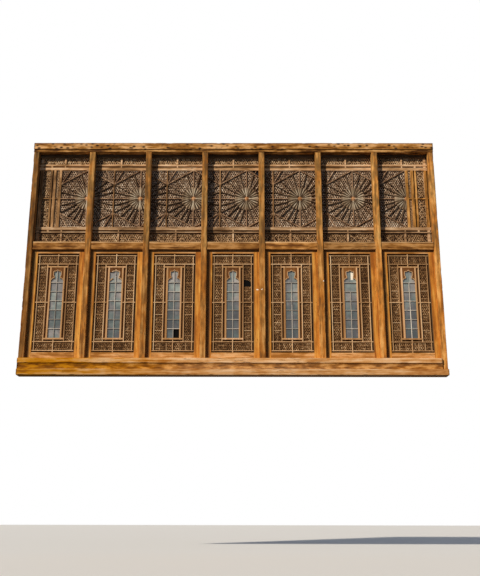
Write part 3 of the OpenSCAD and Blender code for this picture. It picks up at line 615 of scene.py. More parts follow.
# Partly painted shade: the rays are coloured darker than their wood, so that with their shadows they read as
# dark lines.
dark_ray = stops(add(tree, "ValToRGB", {"Fac": slat_tone}), (0.1, "#32241A"), (0.5, "#54412F"),
                 (0.9, "#7A6550"))
off_ray = add(tree, "Math", {0: turned}, operation="SINE")
off_ray = add(tree, "Math", {0: off_ray, 1: radius}, operation="MULTIPLY")
on_ray = band(tree, off_ray, -RAY_W / 2, RAY_W / 2, 0.5 * MM)
near = add(tree, "MapRange", {"Value": radius, "From Min": SILVER_R, "From Max": SLAT_R + 40 * MM,
                              "To Min": 1.0, "To Max": 0.0}, interpolation_type="SMOOTHSTEP")
side_x = add(tree, "Math", {0: along_x}, operation="ABSOLUTE")
side_z = add(tree, "Math", {0: along_z}, operation="ABSOLUTE")
off_cross = add(tree, "Math", {0: side_x, 1: side_z}, operation="MINIMUM")
off_cross = add(tree, "Math", {0: off_cross, 1: RAY_W}, operation="GREATER_THAN")
on_ray = add(tree, "Math", {0: on_ray, 1: off_cross}, operation="MULTIPLY")
slats = add(tree, "MixRGB", {"Fac": near, "Color1": laths, "Color2": silver})
colour = add(tree, "MixRGB", {"Fac": on_ray, "Color1": slats, "Color2": dark_ray})
on_boss = add(tree, "MapRange", {"Value": radius, "From Min": 0.55 * BOSS_R, "From Max": 1.1 * BOSS_R,
                                 "To Min": 1.0, "To Max": 0.0}, interpolation_type="SMOOTHSTEP")
colour = add(tree, "MixRGB", {"Fac": on_boss, "Color1": colour, "Color2": boss})
finish_wood(tree, shader, colour, fields, relief_mm=0.3)
print("star pitch in mm:", round(STAR_PITCH / MM, 1))

# %% [markdown]
# Behind the lattice the glass has not been cleaned for decades, and its dust lies unevenly. Its dark colour
# is painted shade for the unlit room behind it. Behind the sashes it is brown, partly the dust of their own
# wood and partly painted shade, and painted paler as painted light in the gap beside each window. Where a
# pane is lost and where the lattice is torn it is painted black, as painted shade of the dark room.

# %% Dusty dark glass
def dull_glass(name, darkest, lightest):
    """Old sheet glass whose dust lies thicker in some places than in others."""
    material, tree, shader = new_material(name)
    place = (add(tree, "TexCoord"), "Object")
    dust = add(tree, "TexNoise", {"Vector": place, "Scale": 3.0, "Detail": 5.0})
    colour = stops(add(tree, "ValToRGB", {"Fac": dust}), (0.35, darkest), (0.65, lightest))
    feed(shader, {"Base Color": colour, "Roughness": 0.6, "IOR": 1.5, "Specular IOR Level": 0.05})
    return material, tree, shader, place, colour


def front_patch(tree, colour, apart, across, x_range, z_range, paint):
    """Paints a box of the front face of the sash glass, with x_range counted by the number across."""
    inside = add(tree, "Math", {0: (apart, "Y"), 1: GLASS_MIDDLE_Y}, operation="LESS_THAN")
    for source, (low, high) in ((across, x_range), ((apart, "Z"), z_range)):
        within = band(tree, source, low, high, 1 * MM)
        inside = add(tree, "Math", {0: inside, 1: within}, operation="MULTIPLY")
    return add(tree, "MixRGB", {"Fac": inside, "Color1": colour, "Color2": paint})


# Painted shade: near-black and brown glass standing for the unlit room behind the lattice and the sashes.
dark_glass = dull_glass("sheet glass, dust and painted shade of a dark room", "#131216", "#27242A")[0]
brown_glass, tree, shader, place, colour = dull_glass("sheet glass, brown dust and painted shade", "#2A1A0F", "#463020")
GLASS_MIDDLE_Y = (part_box("sash_glass")[0].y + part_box("sash_glass")[1].y) / 2
TORN_X, TORN_FOOT_Z, TORN_R = 207 * MM, 1513 * MM, 120 * MM
apart = add(tree, "SeparateXYZ", {"Vector": place})
bay_x = add(tree, "Math", {0: (apart, "X"), 1: BAY_PITCH / 2, 2: -BAY_PITCH / 2}, operation="WRAP")
bay_x = add(tree, "Math", {0: bay_x}, operation="ABSOLUTE")
BESIDE_WINDOW = (WINDOW_HALF_W - 10 * MM, INNER_HALF_W - INNER_BEAD_W / 2)
TORN_HOLE_X, TORN_HOLE_Z = (INNER_HALF_W, OUTER_HALF_W), (TORN_FOOT_Z, TORN_FOOT_Z + TORN_R)
LOST_PANE_X, LOST_PANE_Z = (-BAY_PITCH, WINDOW_HALF_W - BAY_PITCH), (WINDOW_LO_Z, PANE_LO_Z + PANE_H)
# Painted light: the glass in the shaded gap beside each window is made paler.
colour = front_patch(tree, colour, apart, bay_x, BESIDE_WINDOW, (INNER_LO_Z, INNER_HI_Z), "#7A5634")
# Painted shade: black where the lattice is torn and where a pane is lost, for the dark room behind.
colour = front_patch(tree, colour, apart, (apart, "X"), TORN_HOLE_X, TORN_HOLE_Z, "#040303")
colour = front_patch(tree, colour, apart, (apart, "X"), LOST_PANE_X, LOST_PANE_Z, "#040303")
feed(shader, {"Base Color": colour})

FINISHES = {"sill_timber": sill_wood, "head_timber": beam_wood, "head_board": head_wood,
            "post_timber": post_wood, "transom_timber": transom_wood, "sash_timber": sash_wood,
            "sash_beading": bead_wood, "panel_timber": panel_wood, "fine_lattice": lattice_wood,
            "sunburst_wood": star_wood, "sash_pane": brown_glass, "upper_pane": dark_glass}
SLOTS = {row["node"]: row["material_slot"] for row in frame["record"]["subparts"]}
for name, node in nodes.items():
    node.data.materials.clear()
    node.data.materials.append(FINISHES[SLOTS[name]])
print("finished:", len(nodes), "parts in", len(FINISHES), "finishes")

# %% [markdown]
# Everything that is added from here on is worked out with numpy as whole arrays of points, then
# handed to Blender in one go. This helper does the handing over: it makes the mesh from points
# and four-sided faces, gives it a finish, and lets it ride on the screen's one body.

# %% From arrays to a piece
def on_the_screen(mesh, material):
    """Gives a mesh its finish and an object, which rides on the screen's one body."""
    mesh.materials.append(material)
    piece = bpy.data.objects.new(mesh.name, mesh)
    bpy.context.scene.collection.objects.link(piece)
    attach(piece, "root")
    return piece


def solid(name, points, quads, material, smooth=False):
    """One closed piece from an (n, 3) array of points and an (m, 4) array of corners."""
    mesh = bpy.data.meshes.new(name)
    mesh.vertices.add(len(points))
    mesh.vertices.foreach_set("co", np.ascontiguousarray(points, dtype=np.float32).ravel())
    mesh.loops.add(quads.size)
    mesh.loops.foreach_set("vertex_index", np.ascontiguousarray(quads, dtype=np.int32).ravel())
    mesh.polygons.add(len(quads))
    mesh.polygons.foreach_set("loop_start", np.arange(len(quads), dtype=np.int32) * 4)
    mesh.polygons.foreach_set("use_smooth", np.full(len(quads), smooth))
    mesh.update(calc_edges=True)
    return on_the_screen(mesh, material)


def mark(piece, name, numbers):
    """Stores a number on each point: one for the whole piece, or one for each of its equal bars."""
    each = len(piece.data.vertices) // np.size(numbers)
    values = np.repeat(np.atleast_1d(numbers), each).astype(np.float32)
    piece.data.attributes.new(name, "FLOAT", "POINT").data.foreach_set("value", values)


def copies(quads, step, count):
    """The same faces count times over, each time with corner numbers that are step higher."""
    return (quads[None] + step * np.arange(count)[:, None, None]).reshape(-1, 4)


def ring_sides(corners, rings):
    """The faces between rings of points, where each ring has the same number of corners."""
    i = np.arange(corners)
    side = np.stack((i, i + corners, (i + 1) % corners + corners, (i + 1) % corners), axis=1)
    return copies(side, corners, rings - 1)


# %% [markdown]
# The lattice is glued up from hundreds of short laths. They run in three directions, half a step
# off centre, so that they leave six-pointed stars, and each is cut to the same length. A line
# of laths is n . p = (k + 1/2) pitch. It is first cut to its field, then into laths, and last
# trimmed where a slat, or a hole that someone tore, takes its place.

# %% Where the laths go
LATH_PITCH = STAR_PITCH / 28
LATH_L = 6 * LATH_PITCH / math.sqrt(3)
LATH_W = 7.5 * MM
LATH_D = 8.0 * MM
LATH_CHAMFER = 1.8 * MM
SHORTEST_LATH = 6 * MM
SLIP = 0.5 * MM
HALVED_BY = 1.2 * MM
MODULE_SHARE = 0.45
rng = np.random.default_rng(17)


def lath_ends(field, centre, holes=(), pitch=LATH_PITCH):
    """
    The laths that fill a field (x0, z0, x1, z1), as two arrays of end points and their direction.
    Along a line foot + t * along, t runs from the larger of the two entries into the field to the
    smaller of the two exits. A hole (x, z, radius, raggedness) takes out t_mid -/+ sqrt(r^2 - d^2).
    """
    corners = np.array((field[:2], field[2:]))
    size = np.linalg.norm(corners[1] - corners[0])
    found = []
    for direction, angle in enumerate(np.radians((0, 60, 120))):
        along = np.array((math.cos(angle), math.sin(angle)))
        across = np.array((-along[1], along[0]))
        first = math.floor(((corners.mean(axis=0) - centre) @ across - size / 2) / pitch)
        offsets = (first + 0.5 + np.arange(int(size / pitch) + 2)) * pitch
        foot = centre + offsets[:, None] * across
        slope = np.where(np.abs(along) > 1e-9, along, 1e-9)
        reach = (corners[None] - foot[:, None]) / slope
        enter, leave = reach.min(axis=1).max(axis=1), reach.max(axis=1).min(axis=1)
        steps = np.arange(-int(size * 4 / LATH_L), int(size * 4 / LATH_L)) + rng.random((len(foot), 1))
        start = np.maximum(steps * LATH_L, enter[:, None])
        end = np.minimum((steps + 1) * LATH_L, leave[:, None])
        line, step = np.nonzero(end - start > SHORTEST_LATH)
        foot, start, end = foot[line], start[line, step], end[line, step]
        for x, z, radius, ragged in holes:
            apart = np.array((x, z)) - foot
            middle, away = apart @ along, apart @ across
            own = radius * (1 + ragged * rng.uniform(-1, 1, len(foot)))
            half = np.sqrt(np.maximum(own ** 2 - away ** 2, 0))
            hit = (half > 0) & (end > middle - half) & (start < middle + half)
            foot = np.concatenate((foot, foot[hit]))
            start = np.concatenate((start, np.maximum(start, middle + half)[hit]))
            end = np.concatenate((np.where(hit, np.minimum(end, middle - half), end), end[hit]))
        whole = end - start > SHORTEST_LATH
        foot, start, end = foot[whole], start[whole], end[whole]
        slip = rng.uniform(-SLIP, SLIP, (2, len(foot), 1)) * across
        found.append((foot + start[:, None] * along + slip[0], foot + end[:, None] * along + slip[1],
                      np.full(len(foot), direction)))
    return [np.concatenate(parts) for parts in zip(*found)]


def tube_quads(rings):
    """The faces of a tube of six-cornered rings: its sides, and two quads to close each end."""
    first = np.array(((0, 1, 4, 5), (1, 2, 3, 4)))
    return np.concatenate((ring_sides(6, rings), first, first[:, ::-1] + 6 * (rings - 1)))


def prisms(a, b, width, front, depth, chamfer):
    """
    Straight bars from points a to points b. A bar's section is a rectangle with two chamfers at
    its front, u across and v deep, and each corner is end + u * across + (front + v) * y. The
    chamfer is one size, or a pair for each bar: its right one and its left one, seen along it.
    """
    along = (b - a) / np.linalg.norm(b - a, axis=1, keepdims=True)
    width, front, depth = (np.broadcast_to(value, len(a))[:, None] for value in (width, front, depth))
    right, left = np.broadcast_to(chamfer, (len(a), 2)).T[..., None]
    u = np.array((-1, -1, -1, 1, 1, 1)) * width / 2 + np.array((0, 0, 1, 0, 0, 0)) * right
    u = u - np.array((0, 0, 0, 1, 0, 0)) * left
    v = np.array((1, 0, 0, 0, 0, 1)) * depth + np.array((0, 1, 0, 0, 0, 0)) * right
    v = v + np.array((0, 0, 0, 0, 1, 0)) * left
    ends = np.stack((a, b), axis=1)
    points = np.empty((len(a), 2, 6, 3))
    points[..., 0] = ends[:, :, None, 0] - (along[:, 1:] * u)[:, None]
    points[..., 1] = (front + v)[:, None]
    points[..., 2] = ends[:, :, None, 1] + (along[:, :1] * u)[:, None]
    return points.reshape(-1, 3), copies(tube_quads(2), 12, len(a))


def lath_piece(name, fields, front, material, width=LATH_W, depth=LATH_D, module=190 * MM, shifts=()):
    """
    All laths of several fields as one piece. Each of the three directions lies a little deeper, as where
    laths are halved over each other. A lath's tone is partly its own and partly that of its module, because
    each module was glued up and set at one time. Boxes (x0, z0, x1, z1, shift) hold laths whose tone is
    shifted: upwards where they were renewed, and up or down where a strip is paler or darker.
    """
    a, b, direction = (np.concatenate(parts) for parts in zip(*fields))
    points, quads = prisms(a, b, width, front + direction * HALVED_BY, depth, LATH_CHAMFER)
    piece = solid(name, points, quads, material)
    middle = (a + b) / 2
    column, row = np.floor(middle / module).astype(int).T
    tones = rng.random((200, 200))
    own = (1 - MODULE_SHARE) * rng.random(len(a)) + MODULE_SHARE * tones[column + 100, row + 100]
    for x0, z0, x1, z1, shift in shifts:
        inside = (middle > (x0, z0)).all(axis=1) & (middle < (x1, z1)).all(axis=1)
        own = np.where(inside, own + shift, own)
    mark(piece, "own", np.clip(own, 0, 1))
    print(name, "has", len(a), "laths")
    return piece


# %% [markdown]
# The fields to fill are the seven stars and the strips round them. The laths stop short of the
# slats round a boss, and the top corner of the fourth star has lost its laths. The strips are
# browner than the stars, and paler along the top and in one part of the bottom strip.

# %% Fill the fields
FIELD_LO, FIELD_HI = STAR_LO.z, STAR_HI.z
UPPER_LATH_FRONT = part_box("upper_strips")[0].y + 1 * MM
SLAT_CLEAR_R = 196 * MM
TORN_CORNER = [(0.405, 3.605, 0.062, 0.2), (0.35, 3.63, 0.035, 0.2)]
star_fields = []
for i in range(1, 8):
    lo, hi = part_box("sunburst_%d" % i)
    x = STAR_X + (i - 4) * STAR_PITCH
    holes = [(x, STAR_Z, SLAT_CLEAR_R, 0.0)] + (TORN_CORNER if i == 4 else [])
    star_fields.append(lath_ends((lo.x, FIELD_LO, hi.x, FIELD_HI), np.array((x, STAR_Z)), holes))
lath_piece("star_laths", star_fields, UPPER_LATH_FRONT, star_lath)

STRIPS_LO, STRIPS_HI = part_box("upper_strips")
BOTTOM_STRIP_H = 175 * MM
TOP_STRIP_H = 133 * MM
FIELD_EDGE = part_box("sunburst_7")[1].x
NARROW_STRIP = (FIELD_EDGE + 45 * MM, FIELD_EDGE + 97 * MM)
SIDE_STRIP = (STRIPS_HI.x - 136 * MM, STRIPS_HI.x)
strip_areas = [(STRIPS_LO.x, STRIPS_LO.z, STRIPS_HI.x, STRIPS_LO.z + BOTTOM_STRIP_H),
               (STRIPS_LO.x, STRIPS_HI.z - TOP_STRIP_H, STRIPS_HI.x, STRIPS_HI.z)]
for near, far in (NARROW_STRIP, SIDE_STRIP):
    strip_areas += [(near, FIELD_LO, far, FIELD_HI), (-far, FIELD_LO, -near, FIELD_HI)]
strip_fields = [lath_ends(area, np.array(area[:2])) for area in strip_areas]
BOTTOM_STRIP_DARK = (STRIPS_LO.x, STRIPS_LO.z, STRIPS_HI.x, STRIPS_LO.z + BOTTOM_STRIP_H, -0.28)
TOP_STRIP_PALE = (STRIPS_LO.x, STRIPS_HI.z - TOP_STRIP_H, STRIPS_HI.x, STRIPS_HI.z, 0.3)
BOTTOM_STRIP_PALE = (-2.45, STRIPS_LO.z, -1.5, STRIPS_LO.z + BOTTOM_STRIP_H, 0.45)
lath_piece("strip_laths", strip_fields, UPPER_LATH_FRONT, strip_lath,
           shifts=[TOP_STRIP_PALE, BOTTOM_STRIP_DARK, BOTTOM_STRIP_PALE])

# %% [markdown]
# A sash's opening is crossed by beads: an outer ring, an inner ring, and ties that hold both to
# the stiles and to the window frame. They are strips with bevelled front edges, halved where
# they cross, and each has its own tone. Bars that lie level pass in front of upright ones by a
# hair, as a halving joint does once its wood has shrunk. Brown putty holds the glass behind them.

# %% Beads, window frames and glazing bars
CROOKED = 1.3 * MM


def level_bar(x, half, z, width, front):
    """A bar at height z that reaches as far as half to both sides of x."""
    return (x - half, z, x + half, z, width, front)


def upright_bar(x, low, high, width, front):
    """A bar that stands at x, from low to high."""
    return (x, low, x, high, width, front)


def bar_piece(name, bars, back, material, chamfer):
    """Bars (x0, z0, x1, z1, width, front), each shifted sideways a little and given its own tone."""
    rows = np.array(bars)
    a, b = rows[:, 0:2], rows[:, 2:4]
    along = (b - a) / np.linalg.norm(b - a, axis=1, keepdims=True)
    across = np.stack((-along[:, 1], along[:, 0]), axis=1)
    shift = rng.uniform(-CROOKED, CROOKED, (2, len(rows), 1))
    points, quads = prisms(a + shift[0] * across, b + shift[1] * across, rows[:, 4], rows[:, 5],
                           back - rows[:, 5], chamfer)
    piece = solid(name, points, quads, material)
    mark(piece, "own", rng.random(len(rows)))
    return piece


# How many panes high each bay's upright glazing bar stands, or None where it reaches the arch's tip.
# In the sixth bay it has broken off short.
UPRIGHT_ROWS = (None, None, None, None, 6, 5, 6)
PUTTY_W, PUTTY_SHOWS = 15 * MM, 4.5 * MM
PUTTY_X = OPENING_HALF_W - PUTTY_SHOWS
PUTTY_Z = (OPENING_LO_Z + PUTTY_SHOWS, OPENING_HI_Z - PUTTY_SHOWS)
PUTTY_FRONT, PUTTY_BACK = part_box("sash_glass")[1].y + 0.2 * MM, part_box("sash_glass")[1].y + 5 * MM
for bay in range(1, 8):
    x = bay_middle(bay)
    beads = [level_bar(x, OPENING_HALF_W, z, BEAD_W, BEAD_FRONT) for z in OUTER_Z]
    beads += [level_bar(x, OPENING_HALF_W, z, INNER_BEAD_W, BEAD_FRONT) for z in INNER_Z]
    beads += [(x + side * WINDOW_HALF_W, TIE_Z, x + side * OPENING_HALF_W, TIE_Z, TIE_W, BEAD_FRONT)
              for side in SIDES]
    for side in SIDES:
        beads += [upright_bar(x + side * OUTER_X, OUTER_LO_Z, OUTER_HI_Z, BEAD_W, BEAD_FRONT + 1 * MM),
                  upright_bar(x + side * INNER_X, INNER_LO_Z, INNER_HI_Z, INNER_BEAD_W, BEAD_FRONT + 1 * MM)]
    beads += [upright_bar(x, low, high, TIE_W, BEAD_FRONT + 1.5 * MM)
              for low, high in ((OPENING_LO_Z, WINDOW_LO_Z), (WINDOW_HI_Z, OPENING_HI_Z))]
    beading = bar_piece("beading_%d" % bay, beads, BEAD_BACK, bead_wood, 5 * MM)
    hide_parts("sash_lattice_%d" % bay)

    frame_bars = [level_bar(x, INNER_X, z, FRAME_W, BEAD_FRONT + 0.4 * MM)
                  for z in (WINDOW_LO_Z + FRAME_W / 2, WINDOW_HI_Z - FRAME_W / 2)]
    frame_bars += [upright_bar(x + side * (WINDOW_HALF_W - FRAME_W / 2), WINDOW_LO_Z, WINDOW_HI_Z,
                               FRAME_W, BEAD_FRONT + 0.8 * MM) for side in SIDES]
    bar_piece("window_frame_%d" % bay, frame_bars, BEAD_BACK, frame_wood, 4 * MM)

    rows = UPRIGHT_ROWS[bay - 1]
    joint_z = PANE_LO_Z + 3 * PANE_H
    top_z = PANE_LO_Z + rows * PANE_H if rows else ARCH_TIP_Z
    glazing = [level_bar(x, GLASS_HALF_W + 2 * MM, PANE_LO_Z + row * PANE_H, GLAZING_W, BEAD_FRONT + 6 * MM)
               for row in range(1, PANE_ROWS + 1)]
    glazing += [upright_bar(x, low, high, GLAZING_W, BEAD_FRONT + 7 * MM)
                for low, high in ((PANE_LO_Z - 2 * MM, joint_z), (joint_z, top_z))]
    bar_piece("glazing_bars_%d" % bay, glazing, BEAD_FRONT + 24 * MM, glazing_wood, 2 * MM)

    putty = [level_bar(x, PUTTY_X, z, PUTTY_W, PUTTY_FRONT) for z in PUTTY_Z]
    putty += [upright_bar(x + side * PUTTY_X, *PUTTY_Z, PUTTY_W, PUTTY_FRONT) for side in SIDES]
    bar_piece("putty_%d" % bay, putty, PUTTY_BACK, sash_lath, 1 * MM)
print("bars in a sash:", len(beads) + len(frame_bars) + len(glazing) + len(putty))

# %% [markdown]
# A sash is four boards: two stiles that run its full height, and two rails between them. Their
# inner edges are bevelled, so the low sun lights the bevels that face it and leaves the others
# dark. The rails stand a hair behind the stiles, which shows where the joints are.

# %% Sash boards as a joiner makes them
BEVEL, ARRIS = 11 * MM, 1.5 * MM
RAIL_BEHIND = 0.8 * MM
TENON = 20 * MM
BEVELS = np.array(((BEVEL, ARRIS), (ARRIS, BEVEL), (ARRIS, BEVEL), (BEVEL, ARRIS)))
for bay in range(1, 8):
    lo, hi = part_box("sash_%d" % bay)
    left, right = bay_middle(bay) - OPENING_HALF_W, bay_middle(bay) + OPENING_HALF_W
    stile_x = ((lo.x + left) / 2, (right + hi.x) / 2)
    rail_z = ((lo.z + OPENING_LO_Z) / 2, (OPENING_HI_Z + hi.z) / 2)
    a = np.array([(x, lo.z) for x in stile_x] + [(left - TENON, z) for z in rail_z])
    b = np.array([(x, hi.z) for x in stile_x] + [(right + TENON, z) for z in rail_z])
    width = np.array((left - lo.x, hi.x - right, OPENING_LO_Z - lo.z, hi.z - OPENING_HI_Z))
    front = lo.y + np.array((0, 0, RAIL_BEHIND, RAIL_BEHIND))
    points, quads = prisms(a, b, width, front, hi.y - front, BEVELS)
    boards = solid("sash_boards_%d" % bay, points, quads, sash_wood)
    mark(boards, "own", rng.random(4))
    mark(boards, "level", (0, 0, 1, 1))
    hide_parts("sash_%d" % bay)
print("boards in a sash:", len(a))

# %% [markdown]
# The arch over each window is a thin board, sawn out with a fret saw, and a carved bead is
# pinned round its edge. The bead is a profile carried along the outline. The board is one flat
# shape with a front, a back and an edge. In the second bay its left part has broken away, and a
# splinter of it still leans there.

# %% Arch boards and arch beads
NECK_HALF_W = 49 * MM
LOBE_R = 30 * MM
LOBE_X = GLASS_HALF_W - 12 * MM - LOBE_R
ARCH_HEAD_R = 61 * MM
ARCH_HEAD_Z = 98 * MM
SHOULDER_R = 12 * MM
SHOULDER_Z = 148 * MM
TIP_HALF_W = 40 * MM
BROKEN_BAY = 2
BROKEN_Z = 112 * MM


def arc(x, z, radius, start, end, steps):
    """Points of an arc: centre + radius * (cos, sin) of evenly spaced angles."""
    turn = np.linspace(start, end, steps)
    return np.stack((x + radius * np.cos(turn), z + radius * np.sin(turn)), axis=1)


def arch_line(grow, broken):
    """
    The arch's outline grown by a distance, from its right foot over the tip to its left foot, with
    z counted from the springing: a lobe, a neck between the cusps, a round head, a square
    shoulder, and a tip whose sides rise as (1 - |x| / w)^2. A broken one stops on its left side.
    """
    neck = NECK_HALF_W + grow
    lobe = arc(LOBE_X, 0, LOBE_R + grow, 0, math.acos((neck - LOBE_X) / (LOBE_R + grow)), 12)
    head = arc(0, ARCH_HEAD_Z, ARCH_HEAD_R + grow, -math.acos(neck / (ARCH_HEAD_R + grow)), 0, 10)
    shoulder = arc(ARCH_HEAD_R - SHOULDER_R, SHOULDER_Z - SHOULDER_R, SHOULDER_R + grow, 0, math.pi / 2, 5)
    x = np.linspace(TIP_HALF_W, 0, 8)
    tip = np.stack((x, SHOULDER_Z + grow + (ARCH_RISE - SHOULDER_Z) * (1 - x / TIP_HALF_W) ** 2), axis=1)
    half = np.concatenate((lobe, head, shoulder, tip))
    line = np.concatenate((half, half[-2::-1] * (-1, 1)))
    return line[(line[:, 0] > 0) | (line[:, 1] > BROKEN_Z)] if broken else line


def moulding(line, section):
    """
    A six-cornered section (out, y) carried along a line (x, z). Each ring stands in the mitre of
    its corner: point + out * (n1 + n2) / (1 + n1 . n2), where n1 and n2 are the sides' normals.
    """
    step = np.diff(line, axis=0)
    step /= np.linalg.norm(step, axis=1, keepdims=True)
    normal = np.stack((step[:, 1], -step[:, 0]), axis=1)
    before, after = np.concatenate((normal[:1], normal)), np.concatenate((normal, normal[-1:]))
    mitre = (before + after) / (1 + (before * after).sum(axis=1, keepdims=True))
    points = np.empty((len(line), len(section), 3))
    points[..., 0] = line[:, :1] + mitre[:, :1] * section[:, 0]
    points[..., 1] = section[:, 1]
    points[..., 2] = line[:, 1:] + mitre[:, 1:] * section[:, 0]
    return points.reshape(-1, 3), tube_quads(len(line))


BOARD_HALF_W = GLASS_HALF_W + 1 * MM
BOARD_H = WINDOW_HI_Z - FRAME_W + 1 * MM - ARCH_SPRINGING
BOARD_FRONT, BOARD_BACK = BEAD_FRONT + 6 * MM, BEAD_FRONT + 18 * MM
ARCH_BEAD = np.array(((6.5, 25), (6.5, 15), (4, 11.3), (-4, 11.3), (-6.5, 15), (-6.5, 25))) * MM
for bay in range(1, 8):
    foot = np.array((bay_middle(bay), ARCH_SPRINGING))
    line = arch_line(0.0, bay == BROKEN_BAY)
    corners = np.array(((-BOARD_HALF_W, line[-1, 1]), (-BOARD_HALF_W, BOARD_H), (BOARD_HALF_W, BOARD_H),
                        (BOARD_HALF_W, 0)))
    flat = np.concatenate((line, corners)) + foot
    n = len(flat)
    deep = np.repeat((BOARD_FRONT, BOARD_BACK), n)
    points = np.stack((np.tile(flat[:, 0], 2), deep, np.tile(flat[:, 1], 2)), axis=1)
    front, back = np.arange(n)[::-1], np.arange(n) + n
    edges = ring_sides(n, 2)[:, ::-1]
    mesh = bpy.data.meshes.new("arch_board_%d" % bay)
    mesh.from_pydata(points.tolist(), [], [front.tolist(), back.tolist()] + edges.tolist())
    board = on_the_screen(mesh, spandrel_wood)
    mark(board, "own", rng.random())
    points, quads = moulding(arch_line(4 * MM, bay == BROKEN_BAY) + foot, ARCH_BEAD)
    bead = solid("arch_bead_%d" % bay, points, quads, arch_wood)
    mark(bead, "own", rng.random())
x = bay_middle(BROKEN_BAY)
splinter = (x - GLASS_HALF_W - 2 * MM, ARCH_SPRINGING - 16 * MM, x - 45 * MM, ARCH_SPRINGING + 31 * MM,
            13 * MM, BOARD_FRONT)
bar_piece("arch_splinter", [splinter], BOARD_BACK, frame_wood, 2 * MM)
print("arch board points:", n)

# %% [markdown]
# Between the beads lies fine lattice in modules as long as a hand, each closed by a cross bar.
# Most cross bars are as brown as the lattice, and the paler ones have been renewed. In the
# fourth bay someone has torn a hole beside the window, and in the second bay a broad pale bar
# closes the left strip at the foot of the window.

# %% Lattice strips of the sashes
SASH_LATH_PITCH = 27.5 * MM
SASH_LATH_W = 7.5 * MM
SASH_LATH_D = 6.5 * MM
SASH_LATH_FRONT = BEAD_FRONT + 20 * MM
CROSS_BAR_FRONT = SASH_LATH_FRONT - 4 * MM
HALF_MODULE = 68 * MM
RAIL_MODULE = 105 * MM
CROSS_BAR_W, CLOSING_BAR_W = 9 * MM, 16 * MM
TORN_BAY, TORN_STEP = 4, 5
TORN_HOLE = (TORN_X, TORN_FOOT_Z, TORN_R, 0.04)
RENEWED_LATHS = (-1.275, 1.335, -1.175, 1.545, 0.6)
# Renewed cross bars left and right of each window, as half modules above or below the tie
RENEWED = {1: ((7, 3, -1, -5), (7, 3, -5, -7)), 2: ((5, -3, -7), (7, 3, 1, -7)), 3: ((-3, -7), (-3,)),
           4: ((7, -3, -5, -7), (-5, -7)), 5: ((5, 3, -3, -5, -7), (7, 5, -3, -5)), 6: ((3, 1, -5), (5,)),
           7: ((7, 3, 1, -5, -7), (5, 3, -5, -7))}
UPRIGHTS_RENEWED = (3, 7)

ring_fields, brown_bars, pale_bars = [], [], []
for bay in range(1, 8):
    x, torn = bay_middle(bay), bay == TORN_BAY
    areas = [(-OUTER_X, OUTER_Z[0], OUTER_X, INNER_Z[0]), (-OUTER_X, INNER_Z[1], OUTER_X, OUTER_Z[1]),
             (-OUTER_X, INNER_Z[0], -INNER_X, INNER_Z[1])]
    right_ends = (INNER_Z[0], TORN_FOOT_Z, INNER_Z[1]) if torn else INNER_Z
    areas += [(INNER_X, low, OUTER_X, high) for low, high in zip(right_ends, right_ends[1:])]
    for x0, z0, x1, z1 in areas:
        holes = [TORN_HOLE] if torn and z0 == TORN_FOOT_Z else []
        ring_fields.append(lath_ends((x + x0, z0, x + x1, z1), np.array((x, ARCH_SPRINGING)), holes,
                                     SASH_LATH_PITCH))
    for side, renewed in zip(SIDES, RENEWED[bay]):
        for step in range(-9, 10, 2):
            z = TIE_Z + step * HALF_MODULE
            if not (torn and side == 1 and step == TORN_STEP):
                bars = pale_bars if step in renewed else brown_bars
                bars.append((x + side * INNER_X, z, x + side * OUTER_X, z, CROSS_BAR_W, CROSS_BAR_FRONT))
        for step in (1, 2):
            for low, high in zip(OUTER_Z[:1] + INNER_Z[1:], INNER_Z[:1] + OUTER_Z[1:]):
                bars = pale_bars if bay in UPRIGHTS_RENEWED and low < TIE_Z else brown_bars
                bars.append(upright_bar(x + side * step * RAIL_MODULE, low, high, CROSS_BAR_W,
                                        CROSS_BAR_FRONT))
x, z = bay_middle(BROKEN_BAY), WINDOW_LO_Z + FRAME_W / 2
pale_bars.append((x - INNER_X, z, x - OUTER_X, z, CLOSING_BAR_W, CROSS_BAR_FRONT))
lath_piece("sash_laths", ring_fields, SASH_LATH_FRONT, sash_lath, SASH_LATH_W, SASH_LATH_D,
           2 * HALF_MODULE, [RENEWED_LATHS])
bar_piece("brown_cross_bars", brown_bars, SASH_LATH_FRONT + 8 * MM, sash_lath, 2 * MM)
bar_piece("pale_cross_bars", pale_bars, SASH_LATH_FRONT + 8 * MM, bead_wood, 2 * MM)
print("cross bars:", len(brown_bars), "brown and", len(pale_bars), "pale")

# %% [markdown]
# The timbers were squared with an adze and have weathered since, so none of their faces is flat.
# Each is a loop round its section, carried along its length and pushed inwards by four things:
# long waves, the adze's scallops, chips at the front edges, and drying checks along the grain.
# Waves and scallops are random heights on a coarse grid, joined by cosine curves. Nothing is
# pushed outwards, so that every timber still fits its place.

# %% How a timber is hewn
FRONT_HALF_STEPS, CORNER_STEPS, SIDE_STEPS = 14, 5, 5
# The cells of the coarse grids in metres, along the timber and round it
WAVE_CELLS, SCALLOP_CELLS, CHIP_CELLS = (0.45, 0.09), (0.07, 0.04), (0.075, 0.15)
SCALLOP_D = 0.9 * MM
CHIPPED_ABOVE = 0.7
# A drying check for every so many metres, its half width and half length, how far off the middle
# it may lie as a share of the timber's width, and how far it sways
CHECK_EVERY, CHECK_HALF_W, CHECK_HALF_L = 0.7, 1.6 * MM, (0.08, 0.35)
CHECK_OFF_MIDDLE, CHECK_SWAY = 0.38, 4 * MM


